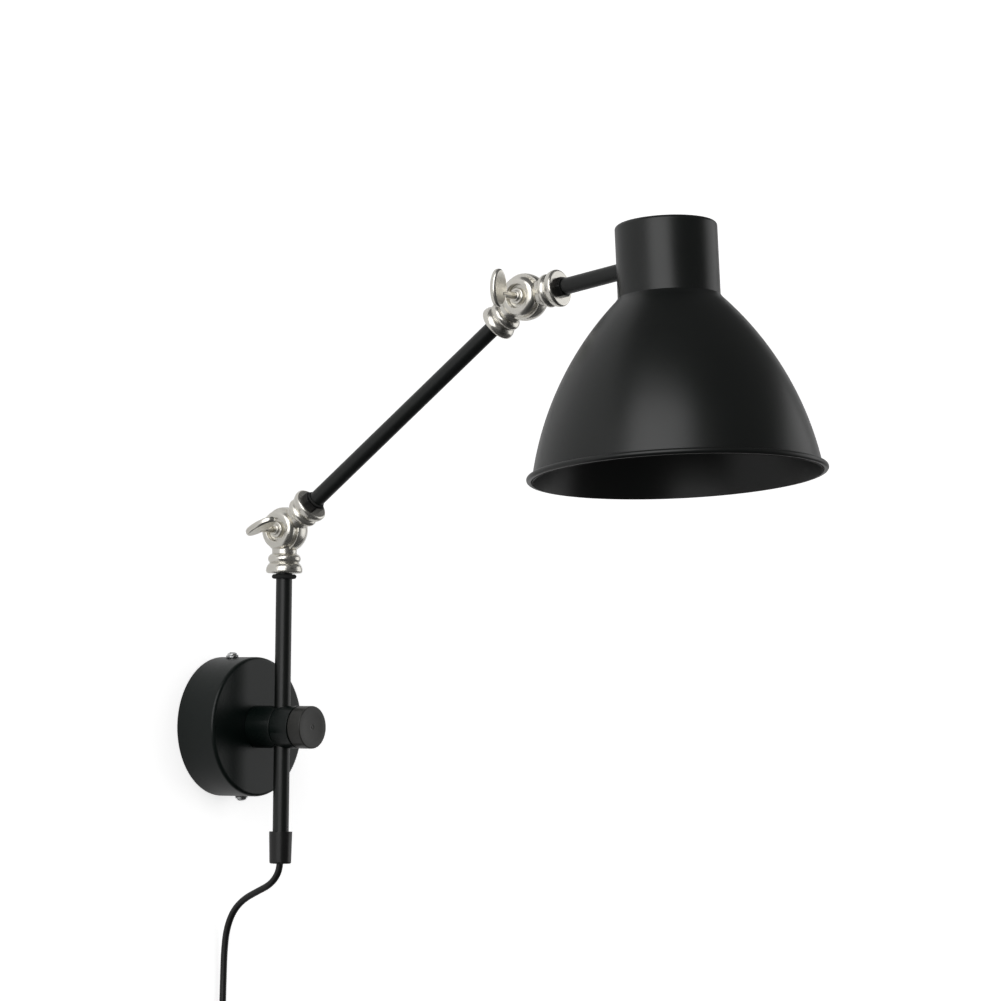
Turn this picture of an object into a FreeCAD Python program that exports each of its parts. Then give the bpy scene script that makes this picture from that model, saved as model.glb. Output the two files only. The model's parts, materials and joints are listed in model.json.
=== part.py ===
import FreeCAD, Part
import math
import os

# Articulating wall lamp. Millimetres and degrees.
# The wall is the plane y = 0, the lamp stands out towards -Y and +Z is up. The origin is
# the centre of the round wall cover's back. The arm's plane is x = 0 when the lamp is at rest,
# and -X is the side on which the two wing screws are.

Vector = FreeCAD.Vector
ORIGIN = Vector(0, 0, 0)
X, Y, Z = Vector(1, 0, 0), Vector(0, 1, 0), Vector(0, 0, 1)
OUT = Vector(0, -1, 0)  # away from the wall
BEYOND = 1.0  # how far a cutting tool runs past the face that it opens

# Clearances
RUNNING = 0.05  # radial play of a pin or sleeve that turns or slides
SEATED = 0.03  # radial play of a piece that is screwed or glued in
SKIN_GAP = 0.3  # between curved faces that pass or face each other

# Wall cover and bracket
COVER_RADIUS = 52.0
COVER_DEPTH = 35.0
COVER_WALL = 1.2
COVER_EDGE = 2.6
BRACKET_TURN = 7.0  # how far the bracket stands turned on the wall
BRACKET_THICK = 2.0
BRACKET_WIDE = 24.0
BRACKET_LONG = 88.0
TAB_WIDE = 13.6
COVER_SCREW_DEPTH = 14.0  # of the side screws, from the wall
COVER_SCREW_RADIUS = 2.0
COVER_SCREW_LONG = 9.0
COVER_SCREW_HEAD = 4.6
COVER_SCREW_COLLAR = 1.6
COVER_SCREW_DOME = 2.2
SLOT_WIDE = 1.2
SLOT_DEEP = 1.3
WALL_SCREW_SPACING = 60.0
WALL_SCREW_RADIUS = 2.5

# Clamp
STEM_STANDOFF = 58.0
CLAMP_RADIUS = 15.8
CLAMP_EDGE = 0.8
SPINDLE_ROD = 5.0
SPINDLE_EYE = 10.0
SPINDLE_NOSE = 4.0
JAW_BASE = 4.0
JAW_SPLIT = 0.5  # open seam between the two jaws
FRONT_JAW_THICK = 16.6
KNOB_THICK = 11.8
KNOB_GAP = 0.7
KNOB_EDGE = 0.7
KNOB_DISH = 11.5  # radius of the face's shallow dish
KNOB_DISH_DEEP = 0.35
KNOB_CENTRE_MARK = 1.8
KNOB_MARK_DEEP = 0.12
WASHER_RADIUS = 12.0
HEX_FLATS = 17.0
HEX_THICK = 7.0
LINER_WALL = 0.95
LINER_COLLAR = 0.9  # how far its hidden collar stands out

# Tubes and stem
TUBE_RADIUS = 6.0
TUBE_WALL = 1.0
STEM_BOTTOM = -95.0
CAP_TOP = -77.5
CAP_BOTTOM = -101.2
CAP_TOP_RADIUS = 8.6
CAP_BOTTOM_RADIUS = 8.1
CAP_EDGE = 1.2
LEAD_RADIUS = 2.5

# Knuckles
LOWER_PIVOT_HEIGHT = 146.4
BALL_RADIUS = 17.0
SEAM_SIDE = 4.0  # the seam's distance from the arm's plane, towards the wing screw
SEAM_GAP = 0.1
FAR_FACE = 12.0
FAR_FACE_EDGE = 1.5
CHEEK_RADIUS = 14.6
CHEEK_FACE = 11.2  # the cheek's crest, from the arm's plane
CHEEK_ROUND = 4.2
RECESS_RADIUS = 8.8
RECESS_FLOOR = 7.0
RECESS_EDGE = 0.4
PIVOT_BORE = 3.0
WASHER_SEAT = 9.2
WASHER_DEEP = 1.0
NECK_RADIUS = 9.1
NECK_START = 8.0
FIRST_RING_START = 18.0
FIRST_RING_RADIUS = 12.05
FIRST_RING_END = 24.3
RING_GROOVE = 10.5
SECOND_RING_RADIUS = 13.45
SECOND_RING_CREST = 30.1
NECK_END = 32.0
LEAD_BORE = 3.2
SOCKET_START = 22.7
TUBE_STOP = 23.7

# Wing screws
SHANK_REACH = 10.5
COLLAR_RADIUS = 5.9
COLLAR_TOP = 11.2
STEP_RADIUS = 3.8
STEP_TOP = 12.8
WING_NECK = 2.5
WING_CENTRE = 32.0
WING_OFFSET = 4.0  # of the paddle's middle from the screw's axis, along the oval
WING_HALF_LONG = 13.6
WING_HALF_WIDE = 7.8
WING_THICK = 4.4
WING_EDGE = 1.6
LOWER_WING_ANGLE = 156.0  # of the oval's long axis, from the wall's direction
UPPER_WING_ANGLE = 90.0

# Nuts and rings on the arms
LOCK_FLATS = 13.6
LOWER_LOCK_FLATS = 15.4
LOCK_THICK = 4.0
THIN_RING_RADIUS = 7.2
THIN_RING_THICK = 1.6
SEAL_RADIUS = 9.2
SEAL_THICK = 3.4
SEAL_DROP = 0.9  # of the black ring under the knuckle
SHIM_THICK = 0.8
SHIM_RADIUS = 9.6

# Arms
LONG_ARM_SPAN = 274.8
LONG_ARM_RISE = 36.47
SHORT_ARM_SPAN = 125.7  # from the upper pivot to the shade's axis
SHORT_ARM_RISE = 9.4

# Shade, whose own origin is where the short arm's axis meets the shade's axis
SHADE_LEAN = 5.7  # the mouth turned away from the wall
SHADE_ROLL = -2.6  # about the short arm
SHADE_WALL = 1.0
SHADE_TOP = 24.9
SHADE_TOP_EDGE = 2.7
SHADE_NECK_RADIUS = 36.1
SHADE_NECK_HEIGHT = 52.6
SHADE_BELL_HEIGHT = 126.7
SHADE_MOUTH_RADIUS = 101.8
SHADE_SAGITTA = 11.5  # of the bell's arc over its chord
BEAD_RADIUS = 2.1
BEAD_OFFSET = 1.5  # of its middle outside the shade's skin

# Lampholder
HUB_RADIUS = 10.0
HUB_BOTTOM = -14.0
ARM_END = 8.0  # of the short arm's tube, before the shade's axis
NECK_NUT_SEAT = 32.6
NECK_NUT_THICK = 4.0
NIPPLE_RADIUS = 5.0
NIPPLE_BORE = 3.6
NIPPLE_LONG = 15.0
NIPPLE_TOP = -7.0
HOLDER_RADIUS = 19.5
HOLDER_WALL = 2.0
HOLDER_CAP_TOP = -15.0
HOLDER_CAP_LONG = 16.0
HOLDER_SHELL_LONG = 40.0
HOLDER_LIP = 1.0
INSERT_FLOOR = 12.0
SOCKET_RADIUS = 13.3
SOCKET_WALL = 0.5
SOCKET_LONG = 22.0
CONTACT_RADIUS = 4.0
CONTACT_THICK = 1.6
CONTACT_GAP = 0.4  # between the centre contact and the thread

# Supply cord: its route outside the lamp, and its coil on the wall under the picture's edge
CORD_RADIUS = 2.5
CORD_BEND = 0.45
CORD_ROUTE = [
    (0.0, -58.0, -93.5),
    (0.0, -58.0, -102.6),
    (0.0, -54.8, -110.8),
    (0.0, -47.6, -117.6),
    (0.0, -35.8, -122.6),
    (0.0, -22.6, -128.8),
    (0.0, -12.4, -138.2),
    (0.0, -6.4, -152.4),
    (0.3, -4.4, -168.6),
    (0.5, -3.8, -187.0),
    (0.2, -3.7, -206.0),
    (0.0, -3.6, -226.0),
    (0.0, -3.6, -243.0),
]
COIL_CENTRE = Vector(-40.0, -3.6, -258.0)
COIL_RADIUS = 40.0
COIL_PITCH = 5.6
COIL_TURNS = 9
COIL_QUARTER = math.pi / 2
CORD_TAIL = 34.0
TIE_THICK = 1.0
TIE_WIDE = 8.0
PLUG_RELIEF = 16.0
PLUG_LONG = 34.0
PLUG_WIDE = 26.0
PLUG_THICK = 13.0
PLUG_TIP_WIDE = 33.0
PIN_RADIUS = 2.0
PIN_LONG = 19.0
PIN_SPACING = 18.6

# Worked out from the sizes above
STEM_AXIS = Vector(0, -STEM_STANDOFF, 0)
LOWER_PIVOT = STEM_AXIS + Vector(0, 0, LOWER_PIVOT_HEIGHT)


def in_arm_plane(rise):
    """The direction in the arm's plane that rises by this angle from straight out."""
    angle = math.radians(rise)
    return Vector(0, -math.cos(angle), math.sin(angle))


UPPER_PIVOT = LOWER_PIVOT + in_arm_plane(LONG_ARM_RISE) * LONG_ARM_SPAN
SHADE_ORIGIN = UPPER_PIVOT + in_arm_plane(SHORT_ARM_RISE) * SHORT_ARM_SPAN
FRONT_JAW_START = STEM_STANDOFF + JAW_SPLIT / 2
FRONT_JAW_END = FRONT_JAW_START + FRONT_JAW_THICK
KNOB_START = FRONT_JAW_END + KNOB_GAP
LINER_RADIUS = TUBE_RADIUS + RUNNING + LINER_WALL
SHELL_TOP = HOLDER_CAP_TOP - HOLDER_CAP_LONG
SHELL_BOTTOM = SHELL_TOP - HOLDER_SHELL_LONG
LAYER_TURNS = (COIL_TURNS - 0.5) / 2

PIECES = {}


def keep(name, *solids):
    """Keeps one piece, or a group of like pieces, under its name."""
    PIECES[name] = solids[0] if len(solids) == 1 else Part.makeCompound(list(solids))


def rod(radius, length, base=ORIGIN, axis=Z):
    """A solid cylinder from base along axis."""
    return Part.makeCylinder(radius, length, base, axis)


def drilled(solid, radius, length, base, axis=Z):
    """The solid with a round hole that also runs past both ends of the given length."""
    start = base - axis * BEYOND
    return solid.cut(rod(radius, length + 2 * BEYOND, start, axis))


def sleeve(outer, inner, length, base=ORIGIN, axis=Z):
    """A cylinder with a bore."""
    return drilled(rod(outer, length, base, axis), inner, length, base, axis)


def block(low, high):
    """A box between two corners, each given as x, y, z."""
    size = [b - a for a, b in zip(low, high)]
    return Part.makeBox(*size, Vector(*low))


def revolved(start, *moves):
    """A solid of revolution about Z. Points are (radius, height); a move of two points is an arc
    through the first to the second."""
    first = here = Vector(start[0], 0, start[1])
    edges = []
    for move in moves:
        if isinstance(move[0], tuple):
            middle, end = [Vector(r, 0, h) for r, h in move]
            edges.append(Part.Arc(here, middle, end).toShape())
        else:
            end = Vector(move[0], 0, move[1])
            edges.append(Part.LineSegment(here, end).toShape())
        here = end
    edges.append(Part.LineSegment(here, first).toShape())
    solid = Part.Face(Part.Wire(edges)).revolve(ORIGIN, Z, 360)
    return solid if solid.Volume > 0 else solid.reversed()


def hexagon(flats, thick, bore):
    """A hexagon nut along +Z from z = 0, with its corners eased on both faces."""
    corner = flats / math.sqrt(3)
    points = [Vector(corner * math.cos(a), corner * math.sin(a), 0)
              for a in (math.radians(60 * i) for i in range(7))]
    prism = Part.Face(Part.makePolygon(points)).extrude(Z * thick)
    ease = (corner - flats / 2) * 0.6
    envelope = revolved((0, 0), (corner - ease, 0), (corner, ease * 0.6), (corner, thick - ease * 0.6),
                        (corner - ease, thick), (0, thick))
    return drilled(prism.common(envelope), bore, thick, ORIGIN)


def along(solid, base, axis):
    """The solid with its +Z turned to axis and its origin moved to base."""
    placed = solid.copy()
    placed.Placement = FreeCAD.Placement(base, FreeCAD.Rotation(Z, axis)).multiply(placed.Placement)
    return placed


def swung(solid, rise, pivot):
    """The solid with its +Z turned in the arm's plane to the given rise, and moved to pivot."""
    placed = solid.copy()
    turn = FreeCAD.Placement(pivot, FreeCAD.Rotation(X, 90 - rise))
    placed.Placement = turn.multiply(placed.Placement)
    return placed


def quarter_arc(radius, centre_radius, centre_height, angle):
    """The point of a profile arc at this angle from the radial direction."""
    a = math.radians(angle)
    return centre_radius + radius * math.cos(a), centre_height + radius * math.sin(a)


# ---- Wall cover, bracket and clamp


def bracket_placed(solid):
    """The solid turned about the wall's normal, as the bracket is."""
    placed = solid.copy()
    placed.rotate(ORIGIN, Y, -BRACKET_TURN)
    return placed


def wall_bracket():
    """A flat strip on the wall with two tabs that the cover's side screws reach."""
    half_tab = TAB_WIDE / 2
    seat = COVER_RADIUS - COVER_WALL - SKIN_GAP
    tab_out = math.sqrt(seat ** 2 - half_tab ** 2)
    tab_end = COVER_SCREW_DEPTH + half_tab
    half_wide, half_long = BRACKET_WIDE / 2, BRACKET_LONG / 2
    plate = block((-half_wide, -BRACKET_THICK, -half_long), (half_wide, 0, half_long))
    strap = block((-half_tab, -BRACKET_THICK, -tab_out), (half_tab, 0, tab_out))
    solid = plate.fuse(strap)
    for side in (1, -1):
        low, high = sorted((side * (tab_out - BRACKET_THICK), side * tab_out))
        solid = solid.fuse(block((-half_tab, -tab_end, low), (half_tab, 0, high)))
    solid = solid.removeSplitter()
    for side in (1, -1):
        reach = Vector(0, -COVER_SCREW_DEPTH, side * (tab_out - BRACKET_THICK))
        solid = drilled(solid, COVER_SCREW_RADIUS, BRACKET_THICK, reach, Z * side)
        hole = Vector(0, 0, side * WALL_SCREW_SPACING / 2)
        solid = drilled(solid, WALL_SCREW_RADIUS, BRACKET_THICK, hole, OUT)
    keep("wall_bracket", bracket_placed(solid))


def rose_cover():
    """The shallow drum over the bracket, with a hole for the spindle and two for its screws."""
    inner, round_at = COVER_RADIUS - COVER_WALL, COVER_RADIUS - COVER_EDGE
    height = COVER_DEPTH - COVER_EDGE
    hole = SPINDLE_ROD + SEATED
    outside = quarter_arc(COVER_EDGE, round_at, height, 45)
    inside = quarter_arc(COVER_EDGE - COVER_WALL, round_at, height, 45)
    cup = revolved((hole, COVER_DEPTH - COVER_WALL), (hole, COVER_DEPTH), (round_at, COVER_DEPTH),
                   (outside, (COVER_RADIUS, height)), (COVER_RADIUS, 0), (inner, 0),
                   (inner, height), (inside, (round_at, COVER_DEPTH - COVER_WALL)))
    cup = along(cup, ORIGIN, OUT)
    for side in (1, -1):
        up = side_screw_direction(side)
        base = OUT * COVER_SCREW_DEPTH + up * (inner - BEYOND)
        cup = drilled(cup, COVER_SCREW_RADIUS, COVER_WALL + BEYOND, base, up)
    keep("rose_cover", cup)


def side_screw_direction(side):
    """The direction of the upper (1) or lower (-1) side screw from the cover's axis."""
    angle = math.radians(BRACKET_TURN)
    return Vector(-math.sin(angle), 0, math.cos(angle)) * side


def cover_screws():
    """The two slotted screws in the side of the cover, each with a collar under its head."""
    shank, head = COVER_SCREW_RADIUS - RUNNING, COVER_SCREW_HEAD
    crown = COVER_SCREW_COLLAR + COVER_SCREW_DOME
    dome = head * 0.78
    screw = revolved((0, -COVER_SCREW_LONG), (shank, -COVER_SCREW_LONG), (shank, 0), (head, 0),
                     (head, COVER_SCREW_COLLAR), (dome, COVER_SCREW_COLLAR),
                     (dome, COVER_SCREW_COLLAR + COVER_SCREW_DOME / 2),
                     ((dome * 0.6, crown - COVER_SCREW_DOME * 0.12), (0, crown)))
    slot = block((-head, -SLOT_WIDE / 2, crown - SLOT_DEEP), (head, SLOT_WIDE / 2, crown + BEYOND))
    screw = screw.cut(slot)
    screws = []
    for side in (1, -1):
        up = side_screw_direction(side)
        seat = OUT * COVER_SCREW_DEPTH + up * (COVER_RADIUS + RUNNING)
        screws.append(along(screw, seat, up))
    keep("cover_screws", *screws)


def clamp_spindle():
    """The rod from the bracket's nut to the knob, with an eye that the stem passes through."""
    eye_start = COVER_DEPTH + JAW_BASE + SKIN_GAP
    eye_end = FRONT_JAW_END - JAW_BASE - SKIN_GAP
    nose_end = KNOB_START + KNOB_THICK * 0.7
    rod_start = BRACKET_THICK + SKIN_GAP
    nose = SPINDLE_NOSE - RUNNING
    spindle = revolved((0, rod_start), (SPINDLE_ROD, rod_start), (SPINDLE_ROD, eye_start),
                       (SPINDLE_EYE, eye_start), (SPINDLE_EYE, eye_end), (nose, eye_end),
                       (nose, nose_end), (0, nose_end))
    half = LINER_RADIUS + LINER_COLLAR + SKIN_GAP
    slack = half + BEYOND
    slot = block((-half, -SPINDLE_EYE - BEYOND, STEM_STANDOFF - slack),
                 (half, SPINDLE_EYE + BEYOND, STEM_STANDOFF + slack))
    keep("clamp_spindle", along(spindle.cut(slot), ORIGIN, OUT))


def spindle_nuts():
    """The nut welded to the bracket, and the nut that draws the cover to the rear jaw."""
    nut = hexagon(HEX_FLATS, HEX_THICK, SPINDLE_ROD + SEATED)
    keep("bracket_nut", along(nut, OUT * BRACKET_THICK, OUT))
    keep("cover_nut", along(nut, OUT * (COVER_DEPTH - COVER_WALL - HEX_THICK), OUT))


def jaw(start, end, base_at_start, rod_hole):
    """One half of the clamp's barrel: a closed base and a round notch for the stem's liner."""
    inner = SPINDLE_EYE + SKIN_GAP / 2
    solid = rod(CLAMP_RADIUS, end - start, Z * start)
    rims = [e for e in solid.Edges if isinstance(e.Curve, Part.Circle)]
    solid = solid.makeFillet(CLAMP_EDGE / 2, rims)
    if base_at_start:
        solid = drilled(solid, inner, end - start - JAW_BASE, Z * (start + JAW_BASE + BEYOND))
    else:
        solid = drilled(solid, inner, end - start - JAW_BASE - BEYOND, Z * start)
    solid = drilled(solid, rod_hole, end - start, Z * start)
    notch = LINER_RADIUS + RUNNING
    return solid.cut(rod(notch, 4 * CLAMP_RADIUS, Vector(0, -2 * CLAMP_RADIUS, STEM_STANDOFF), Y))


def clamp_jaws():
    """The rear jaw on the cover and the front jaw that the knob pushes."""
    rear = jaw(COVER_DEPTH, STEM_STANDOFF - JAW_SPLIT / 2, True, SPINDLE_ROD + SEATED)
    front = jaw(FRONT_JAW_START, FRONT_JAW_END, False, SPINDLE_NOSE + RUNNING)
    keep("rear_jaw", along(rear, ORIGIN, OUT))
    keep("front_jaw", along(front, ORIGIN, OUT))
    washer = sleeve(WASHER_RADIUS, SPINDLE_NOSE + RUNNING, KNOB_GAP - RUNNING)
    keep("knob_washer", along(washer, OUT * FRONT_JAW_END, OUT))


def clamp_knob():
    """The round knob on the spindle's nose, with a shallow dish and a centre mark in its face."""
    inner = CLAMP_RADIUS - KNOB_EDGE
    bore_end = KNOB_THICK * 0.75
    crest = quarter_arc(KNOB_EDGE, inner, KNOB_THICK - KNOB_EDGE, 45)
    floor = KNOB_THICK - KNOB_DISH_DEEP
    dish = (KNOB_DISH * 0.6, floor + KNOB_DISH_DEEP * 0.25)
    knob = revolved((SPINDLE_NOSE, 0), (CLAMP_RADIUS - CLAMP_EDGE, 0), (CLAMP_RADIUS, CLAMP_EDGE),
                    (CLAMP_RADIUS, KNOB_THICK - KNOB_EDGE), (crest, (inner, KNOB_THICK)),
                    (KNOB_DISH, KNOB_THICK), (dish, (KNOB_CENTRE_MARK, floor)),
                    (0, floor - KNOB_MARK_DEEP), (0, bore_end), (SPINDLE_NOSE, bore_end))
    keep("clamp_knob", along(knob, OUT * KNOB_START, OUT))


def swivel_liner():
    """The plastic sleeve in the jaws, in which the stem turns and slides. Its collar stays in the
    jaws' hollow and keeps it in place."""
    bore, collar = TUBE_RADIUS + RUNNING, LINER_RADIUS + LINER_COLLAR
    hollow = SPINDLE_EYE + SKIN_GAP / 2
    top = math.sqrt(CLAMP_RADIUS ** 2 - LINER_RADIUS ** 2) - SKIN_GAP
    step = math.sqrt(hollow ** 2 - collar ** 2) - SKIN_GAP
    liner = revolved((bore, -top), (LINER_RADIUS, -top), (LINER_RADIUS, -step), (collar, -step),
                     (collar, step), (LINER_RADIUS, step), (LINER_RADIUS, top), (bore, top))
    keep("swivel_liner", along(liner, STEM_AXIS, Z))


# ---- Stem


def stem():
    """The vertical tube with its end cap and the black ring under the knuckle."""
    top = LOWER_PIVOT_HEIGHT - TUBE_STOP
    tube = sleeve(TUBE_RADIUS, TUBE_RADIUS - TUBE_WALL, top - STEM_BOTTOM, Z * STEM_BOTTOM)
    keep("stem_tube", along(tube, STEM_AXIS, Z))

    seat, hole = TUBE_RADIUS + SEATED, CORD_RADIUS + RUNNING
    low = CAP_BOTTOM + CAP_EDGE
    corner = quarter_arc(CAP_EDGE, CAP_BOTTOM_RADIUS - CAP_EDGE, low, -45)
    cap = revolved((seat, CAP_TOP), (CAP_TOP_RADIUS, CAP_TOP), (CAP_BOTTOM_RADIUS, low),
                   (corner, (CAP_BOTTOM_RADIUS - CAP_EDGE, CAP_BOTTOM)), (hole, CAP_BOTTOM),
                   (hole, STEM_BOTTOM - SEATED), (seat, STEM_BOTTOM - SEATED))
    keep("stem_end_cap", along(cap, STEM_AXIS, Z))

    seal = round_ring(SEAL_RADIUS, SEAL_THICK, NECK_END + SEAL_DROP)
    keep("stem_o_ring", swung(seal, -90, LOWER_PIVOT))

    foot = Vector(0, -STEM_STANDOFF, STEM_BOTTOM + 3 * SEATED + 2)
    lean = TUBE_RADIUS - TUBE_WALL - LEAD_RADIUS - SKIN_GAP
    head = Vector(0, -STEM_STANDOFF + lean, top - BEYOND)
    path = head - foot
    keep("stem_lead", rod(LEAD_RADIUS, path.Length, foot, path.normalize()))


def round_ring(radius, thick, start):
    """A ring on a tube with a half-round outside, along +Z from start."""
    bore = TUBE_RADIUS + SEATED
    flat = radius - thick / 2
    return revolved((bore, start), (flat, start), ((radius, start + thick / 2), (flat, start + thick)),
                    (bore, start + thick))


# ---- Knuckles


def ringed_neck():
    """A knuckle's neck along +Z: a collar, two turned rings and a socket for the tube."""
    groove = FIRST_RING_END + 0.2
    bulge = RING_GROOVE + (SECOND_RING_RADIUS - RING_GROOVE) * 0.74
    neck = revolved((0, NECK_START), (NECK_RADIUS, NECK_START), (NECK_RADIUS, FIRST_RING_START),
                    ((FIRST_RING_RADIUS, (FIRST_RING_START + FIRST_RING_END) / 2),
                     (RING_GROOVE, FIRST_RING_END)),
                    (RING_GROOVE, groove),
                    ((bulge, groove + (SECOND_RING_CREST - groove) * 0.42),
                     (SECOND_RING_RADIUS, SECOND_RING_CREST)),
                    ((SECOND_RING_RADIUS - 0.3, (SECOND_RING_CREST + NECK_END) / 2 + 0.3),
                     (SECOND_RING_RADIUS - 1.2, NECK_END)),
                    (0, NECK_END))
    neck = drilled(neck, LEAD_BORE, NECK_END - NECK_START, Z * NECK_START)
    return drilled(neck, TUBE_RADIUS + SEATED, NECK_END - SOCKET_START, Z * (SOCKET_START + BEYOND))


def near_half():
    """The half under the wing screw: a round cheek with a raised rim, fused to its neck."""
    crest_radius = CHEEK_RADIUS - CHEEK_ROUND
    crest_side = CHEEK_FACE - CHEEK_ROUND
    rim = quarter_arc(CHEEK_ROUND, crest_radius, crest_side, 45)
    lip_radius = RECESS_RADIUS + RECESS_EDGE
    lip = quarter_arc(RECESS_EDGE, lip_radius, CHEEK_FACE - RECESS_EDGE, 135)
    cheek = revolved((PIVOT_BORE, SEAM_SIDE + WASHER_DEEP), (WASHER_SEAT, SEAM_SIDE + WASHER_DEEP),
                     (WASHER_SEAT, SEAM_SIDE), (CHEEK_RADIUS, SEAM_SIDE), (CHEEK_RADIUS, crest_side),
                     (rim, (crest_radius, CHEEK_FACE)), (lip_radius, CHEEK_FACE),
                     (lip, (RECESS_RADIUS, CHEEK_FACE - RECESS_EDGE)),
                     (RECESS_RADIUS, RECESS_FLOOR), (PIVOT_BORE, RECESS_FLOOR))
    cheek = along(cheek, ORIGIN, -X)
    swept = Part.makeSphere(BALL_RADIUS + SKIN_GAP)
    reach = 3 * BALL_RADIUS
    swept = swept.common(block((-SEAM_SIDE, -reach, -reach), (reach, reach, reach)))
    recess = rod(RECESS_RADIUS, reach, Vector(-RECESS_FLOOR, 0, 0), -X)
    seat = rod(WASHER_SEAT, WASHER_DEEP, Vector(-SEAM_SIDE, 0, 0), -X)
    neck = ringed_neck().cut(swept).cut(recess).cut(seat)
    return largest(cheek.fuse(neck).removeSplitter())


def far_half():
    """The other half: most of the ball, fused to its neck, with the thread for the wing screw."""
    reach = 3 * BALL_RADIUS
    seam = -(SEAM_SIDE - SEAM_GAP)
    ball = Part.makeSphere(BALL_RADIUS).common(block((seam, -reach, -reach), (FAR_FACE, reach, reach)))
    face_rim = [e for e in ball.Edges if abs(e.BoundBox.XMin - FAR_FACE) < 1e-3
                and abs(e.BoundBox.XMax - FAR_FACE) < 1e-3]
    ball = ball.makeFillet(FAR_FACE_EDGE, face_rim)
    cheek_path = rod(CHEEK_RADIUS + SKIN_GAP, reach, Vector(seam, 0, 0), -X)
    solid = ball.fuse(ringed_neck().cut(cheek_path)).removeSplitter()
    solid = drilled(solid, LEAD_BORE, NECK_END - NECK_START, Z * NECK_START)
    solid = drilled(solid, PIVOT_BORE, FAR_FACE + SEAM_SIDE, Vector(seam, 0, 0), X)
    return largest(solid)


def largest(shape):
    """The largest solid of a shape, which drops slivers that a cut leaves behind."""
    return max(shape.Solids, key=lambda s: s.Volume)


def wing_screw(angle):
    """A wing screw along -X: shank, collar, step, neck and a flat oval paddle."""
    shank = PIVOT_BORE - RUNNING
    seat = RECESS_FLOOR + RUNNING
    wing_start = WING_CENTRE - WING_HALF_WIDE + WING_THICK
    body = revolved((0, -SHANK_REACH), (shank - 0.5, -SHANK_REACH), (shank, 0.5 - SHANK_REACH),
                    (shank, seat), (COLLAR_RADIUS, seat), (COLLAR_RADIUS, COLLAR_TOP - 1.0),
                    ((COLLAR_RADIUS - 0.3, COLLAR_TOP - 0.3), (COLLAR_RADIUS - 1.0, COLLAR_TOP)),
                    (STEP_RADIUS, COLLAR_TOP), (STEP_RADIUS, STEP_TOP - 0.6),
                    (STEP_RADIUS - 0.6, STEP_TOP), (WING_NECK, STEP_TOP), (WING_NECK, wing_start),
                    (0, wing_start))
    body = along(body, ORIGIN, -X)
    centre = Vector(-WING_CENTRE, -WING_THICK / 2, WING_OFFSET)
    oval = Part.Ellipse(centre + Z * WING_HALF_LONG, centre + X * WING_HALF_WIDE, centre)
    plate = Part.Face(Part.Wire([oval.toShape()])).extrude(Y * WING_THICK)
    plate = plate.makeFillet(WING_EDGE, [e for e in plate.Edges if not isinstance(e.Curve, Part.Line)])
    wing = body.fuse(plate)
    wing.rotate(ORIGIN, X, angle - 90)
    return wing


def pivot_washer():
    """The friction washer between a knuckle's halves."""
    play, thick = PIVOT_BORE + RUNNING, WASHER_DEEP + SEAM_GAP / 2
    return sleeve(WASHER_SEAT - SEATED, play, thick, X * (-SEAM_SIDE - WASHER_DEEP), X)


def placed_at(solid, pivot):
    """The solid moved from the origin to pivot."""
    moved = solid.copy()
    moved.translate(pivot)
    return moved


def knuckle(name, pivot, base_rise, arm_rise, wing_angle):
    """Both halves of a knuckle, its washer and its wing screw."""
    keep(f"{name}_knuckle_near_half", swung(near_half(), base_rise, pivot))
    keep(f"{name}_knuckle_far_half", swung(far_half(), arm_rise, pivot))
    keep(f"{name}_friction_washer", placed_at(pivot_washer(), pivot))
    keep(f"{name}_wing_screw", placed_at(wing_screw(wing_angle), pivot))


# ---- Arms


def arm_tube(start_pivot, rise, start, end):
    """A tube along an arm between two distances from its first pivot."""
    tube = sleeve(TUBE_RADIUS, TUBE_RADIUS - TUBE_WALL, end - start, Z * start)
    return swung(tube, rise, start_pivot)


def arm_lead(start_pivot, rise, start, end):
    """The cord inside an arm, which lies on the lower side of the tube."""
    drop = TUBE_RADIUS - TUBE_WALL - LEAD_RADIUS - SKIN_GAP
    lead = rod(LEAD_RADIUS, end - start, Vector(0, drop, start))
    return swung(lead, rise, start_pivot)


def long_arm():
    """The long tube with its black lock nut and ring below, and a thin shim above."""
    rise = LONG_ARM_RISE
    top = LONG_ARM_SPAN - TUBE_STOP
    keep("long_arm_tube", arm_tube(LOWER_PIVOT, rise, TUBE_STOP, top))
    keep("long_arm_lead", arm_lead(LOWER_PIVOT, rise, TUBE_STOP + 2, top - 2))
    nut = hexagon(LOWER_LOCK_FLATS, LOCK_THICK, TUBE_RADIUS + SEATED)
    nut.translate(Z * (NECK_END + SEATED))
    keep("lower_lock_nut", swung(nut, rise, LOWER_PIVOT))
    ring_start = NECK_END + LOCK_THICK + 3 * SEATED
    ring = round_ring(THIN_RING_RADIUS, THIN_RING_THICK, ring_start)
    keep("long_arm_ring", swung(ring, rise, LOWER_PIVOT))
    shim = sleeve(SHIM_RADIUS, TUBE_RADIUS + SEATED, SHIM_THICK, Z * (NECK_END + SEATED))
    keep("upper_shim_ring", swung(shim, rise + 180, UPPER_PIVOT))


def short_arm():
    """The short tube into the shade's neck, with its lock nut."""
    rise = SHORT_ARM_RISE
    end = SHORT_ARM_SPAN - ARM_END
    keep("short_arm_tube", arm_tube(UPPER_PIVOT, rise, TUBE_STOP, end))
    keep("short_arm_lead", arm_lead(UPPER_PIVOT, rise, TUBE_STOP + 2, end - 2))
    nut = hexagon(LOCK_FLATS, LOCK_THICK, TUBE_RADIUS + SEATED)
    nut.translate(Z * (NECK_END + SEATED))
    keep("upper_lock_nut", swung(nut, rise, UPPER_PIVOT))
    inner_nut = hexagon(HEX_FLATS, NECK_NUT_THICK, TUBE_RADIUS + SEATED)
    inner_nut.translate(Z * (SHORT_ARM_SPAN - NECK_NUT_SEAT))
    keep("shade_neck_nut", swung(inner_nut, rise, UPPER_PIVOT))


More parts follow.
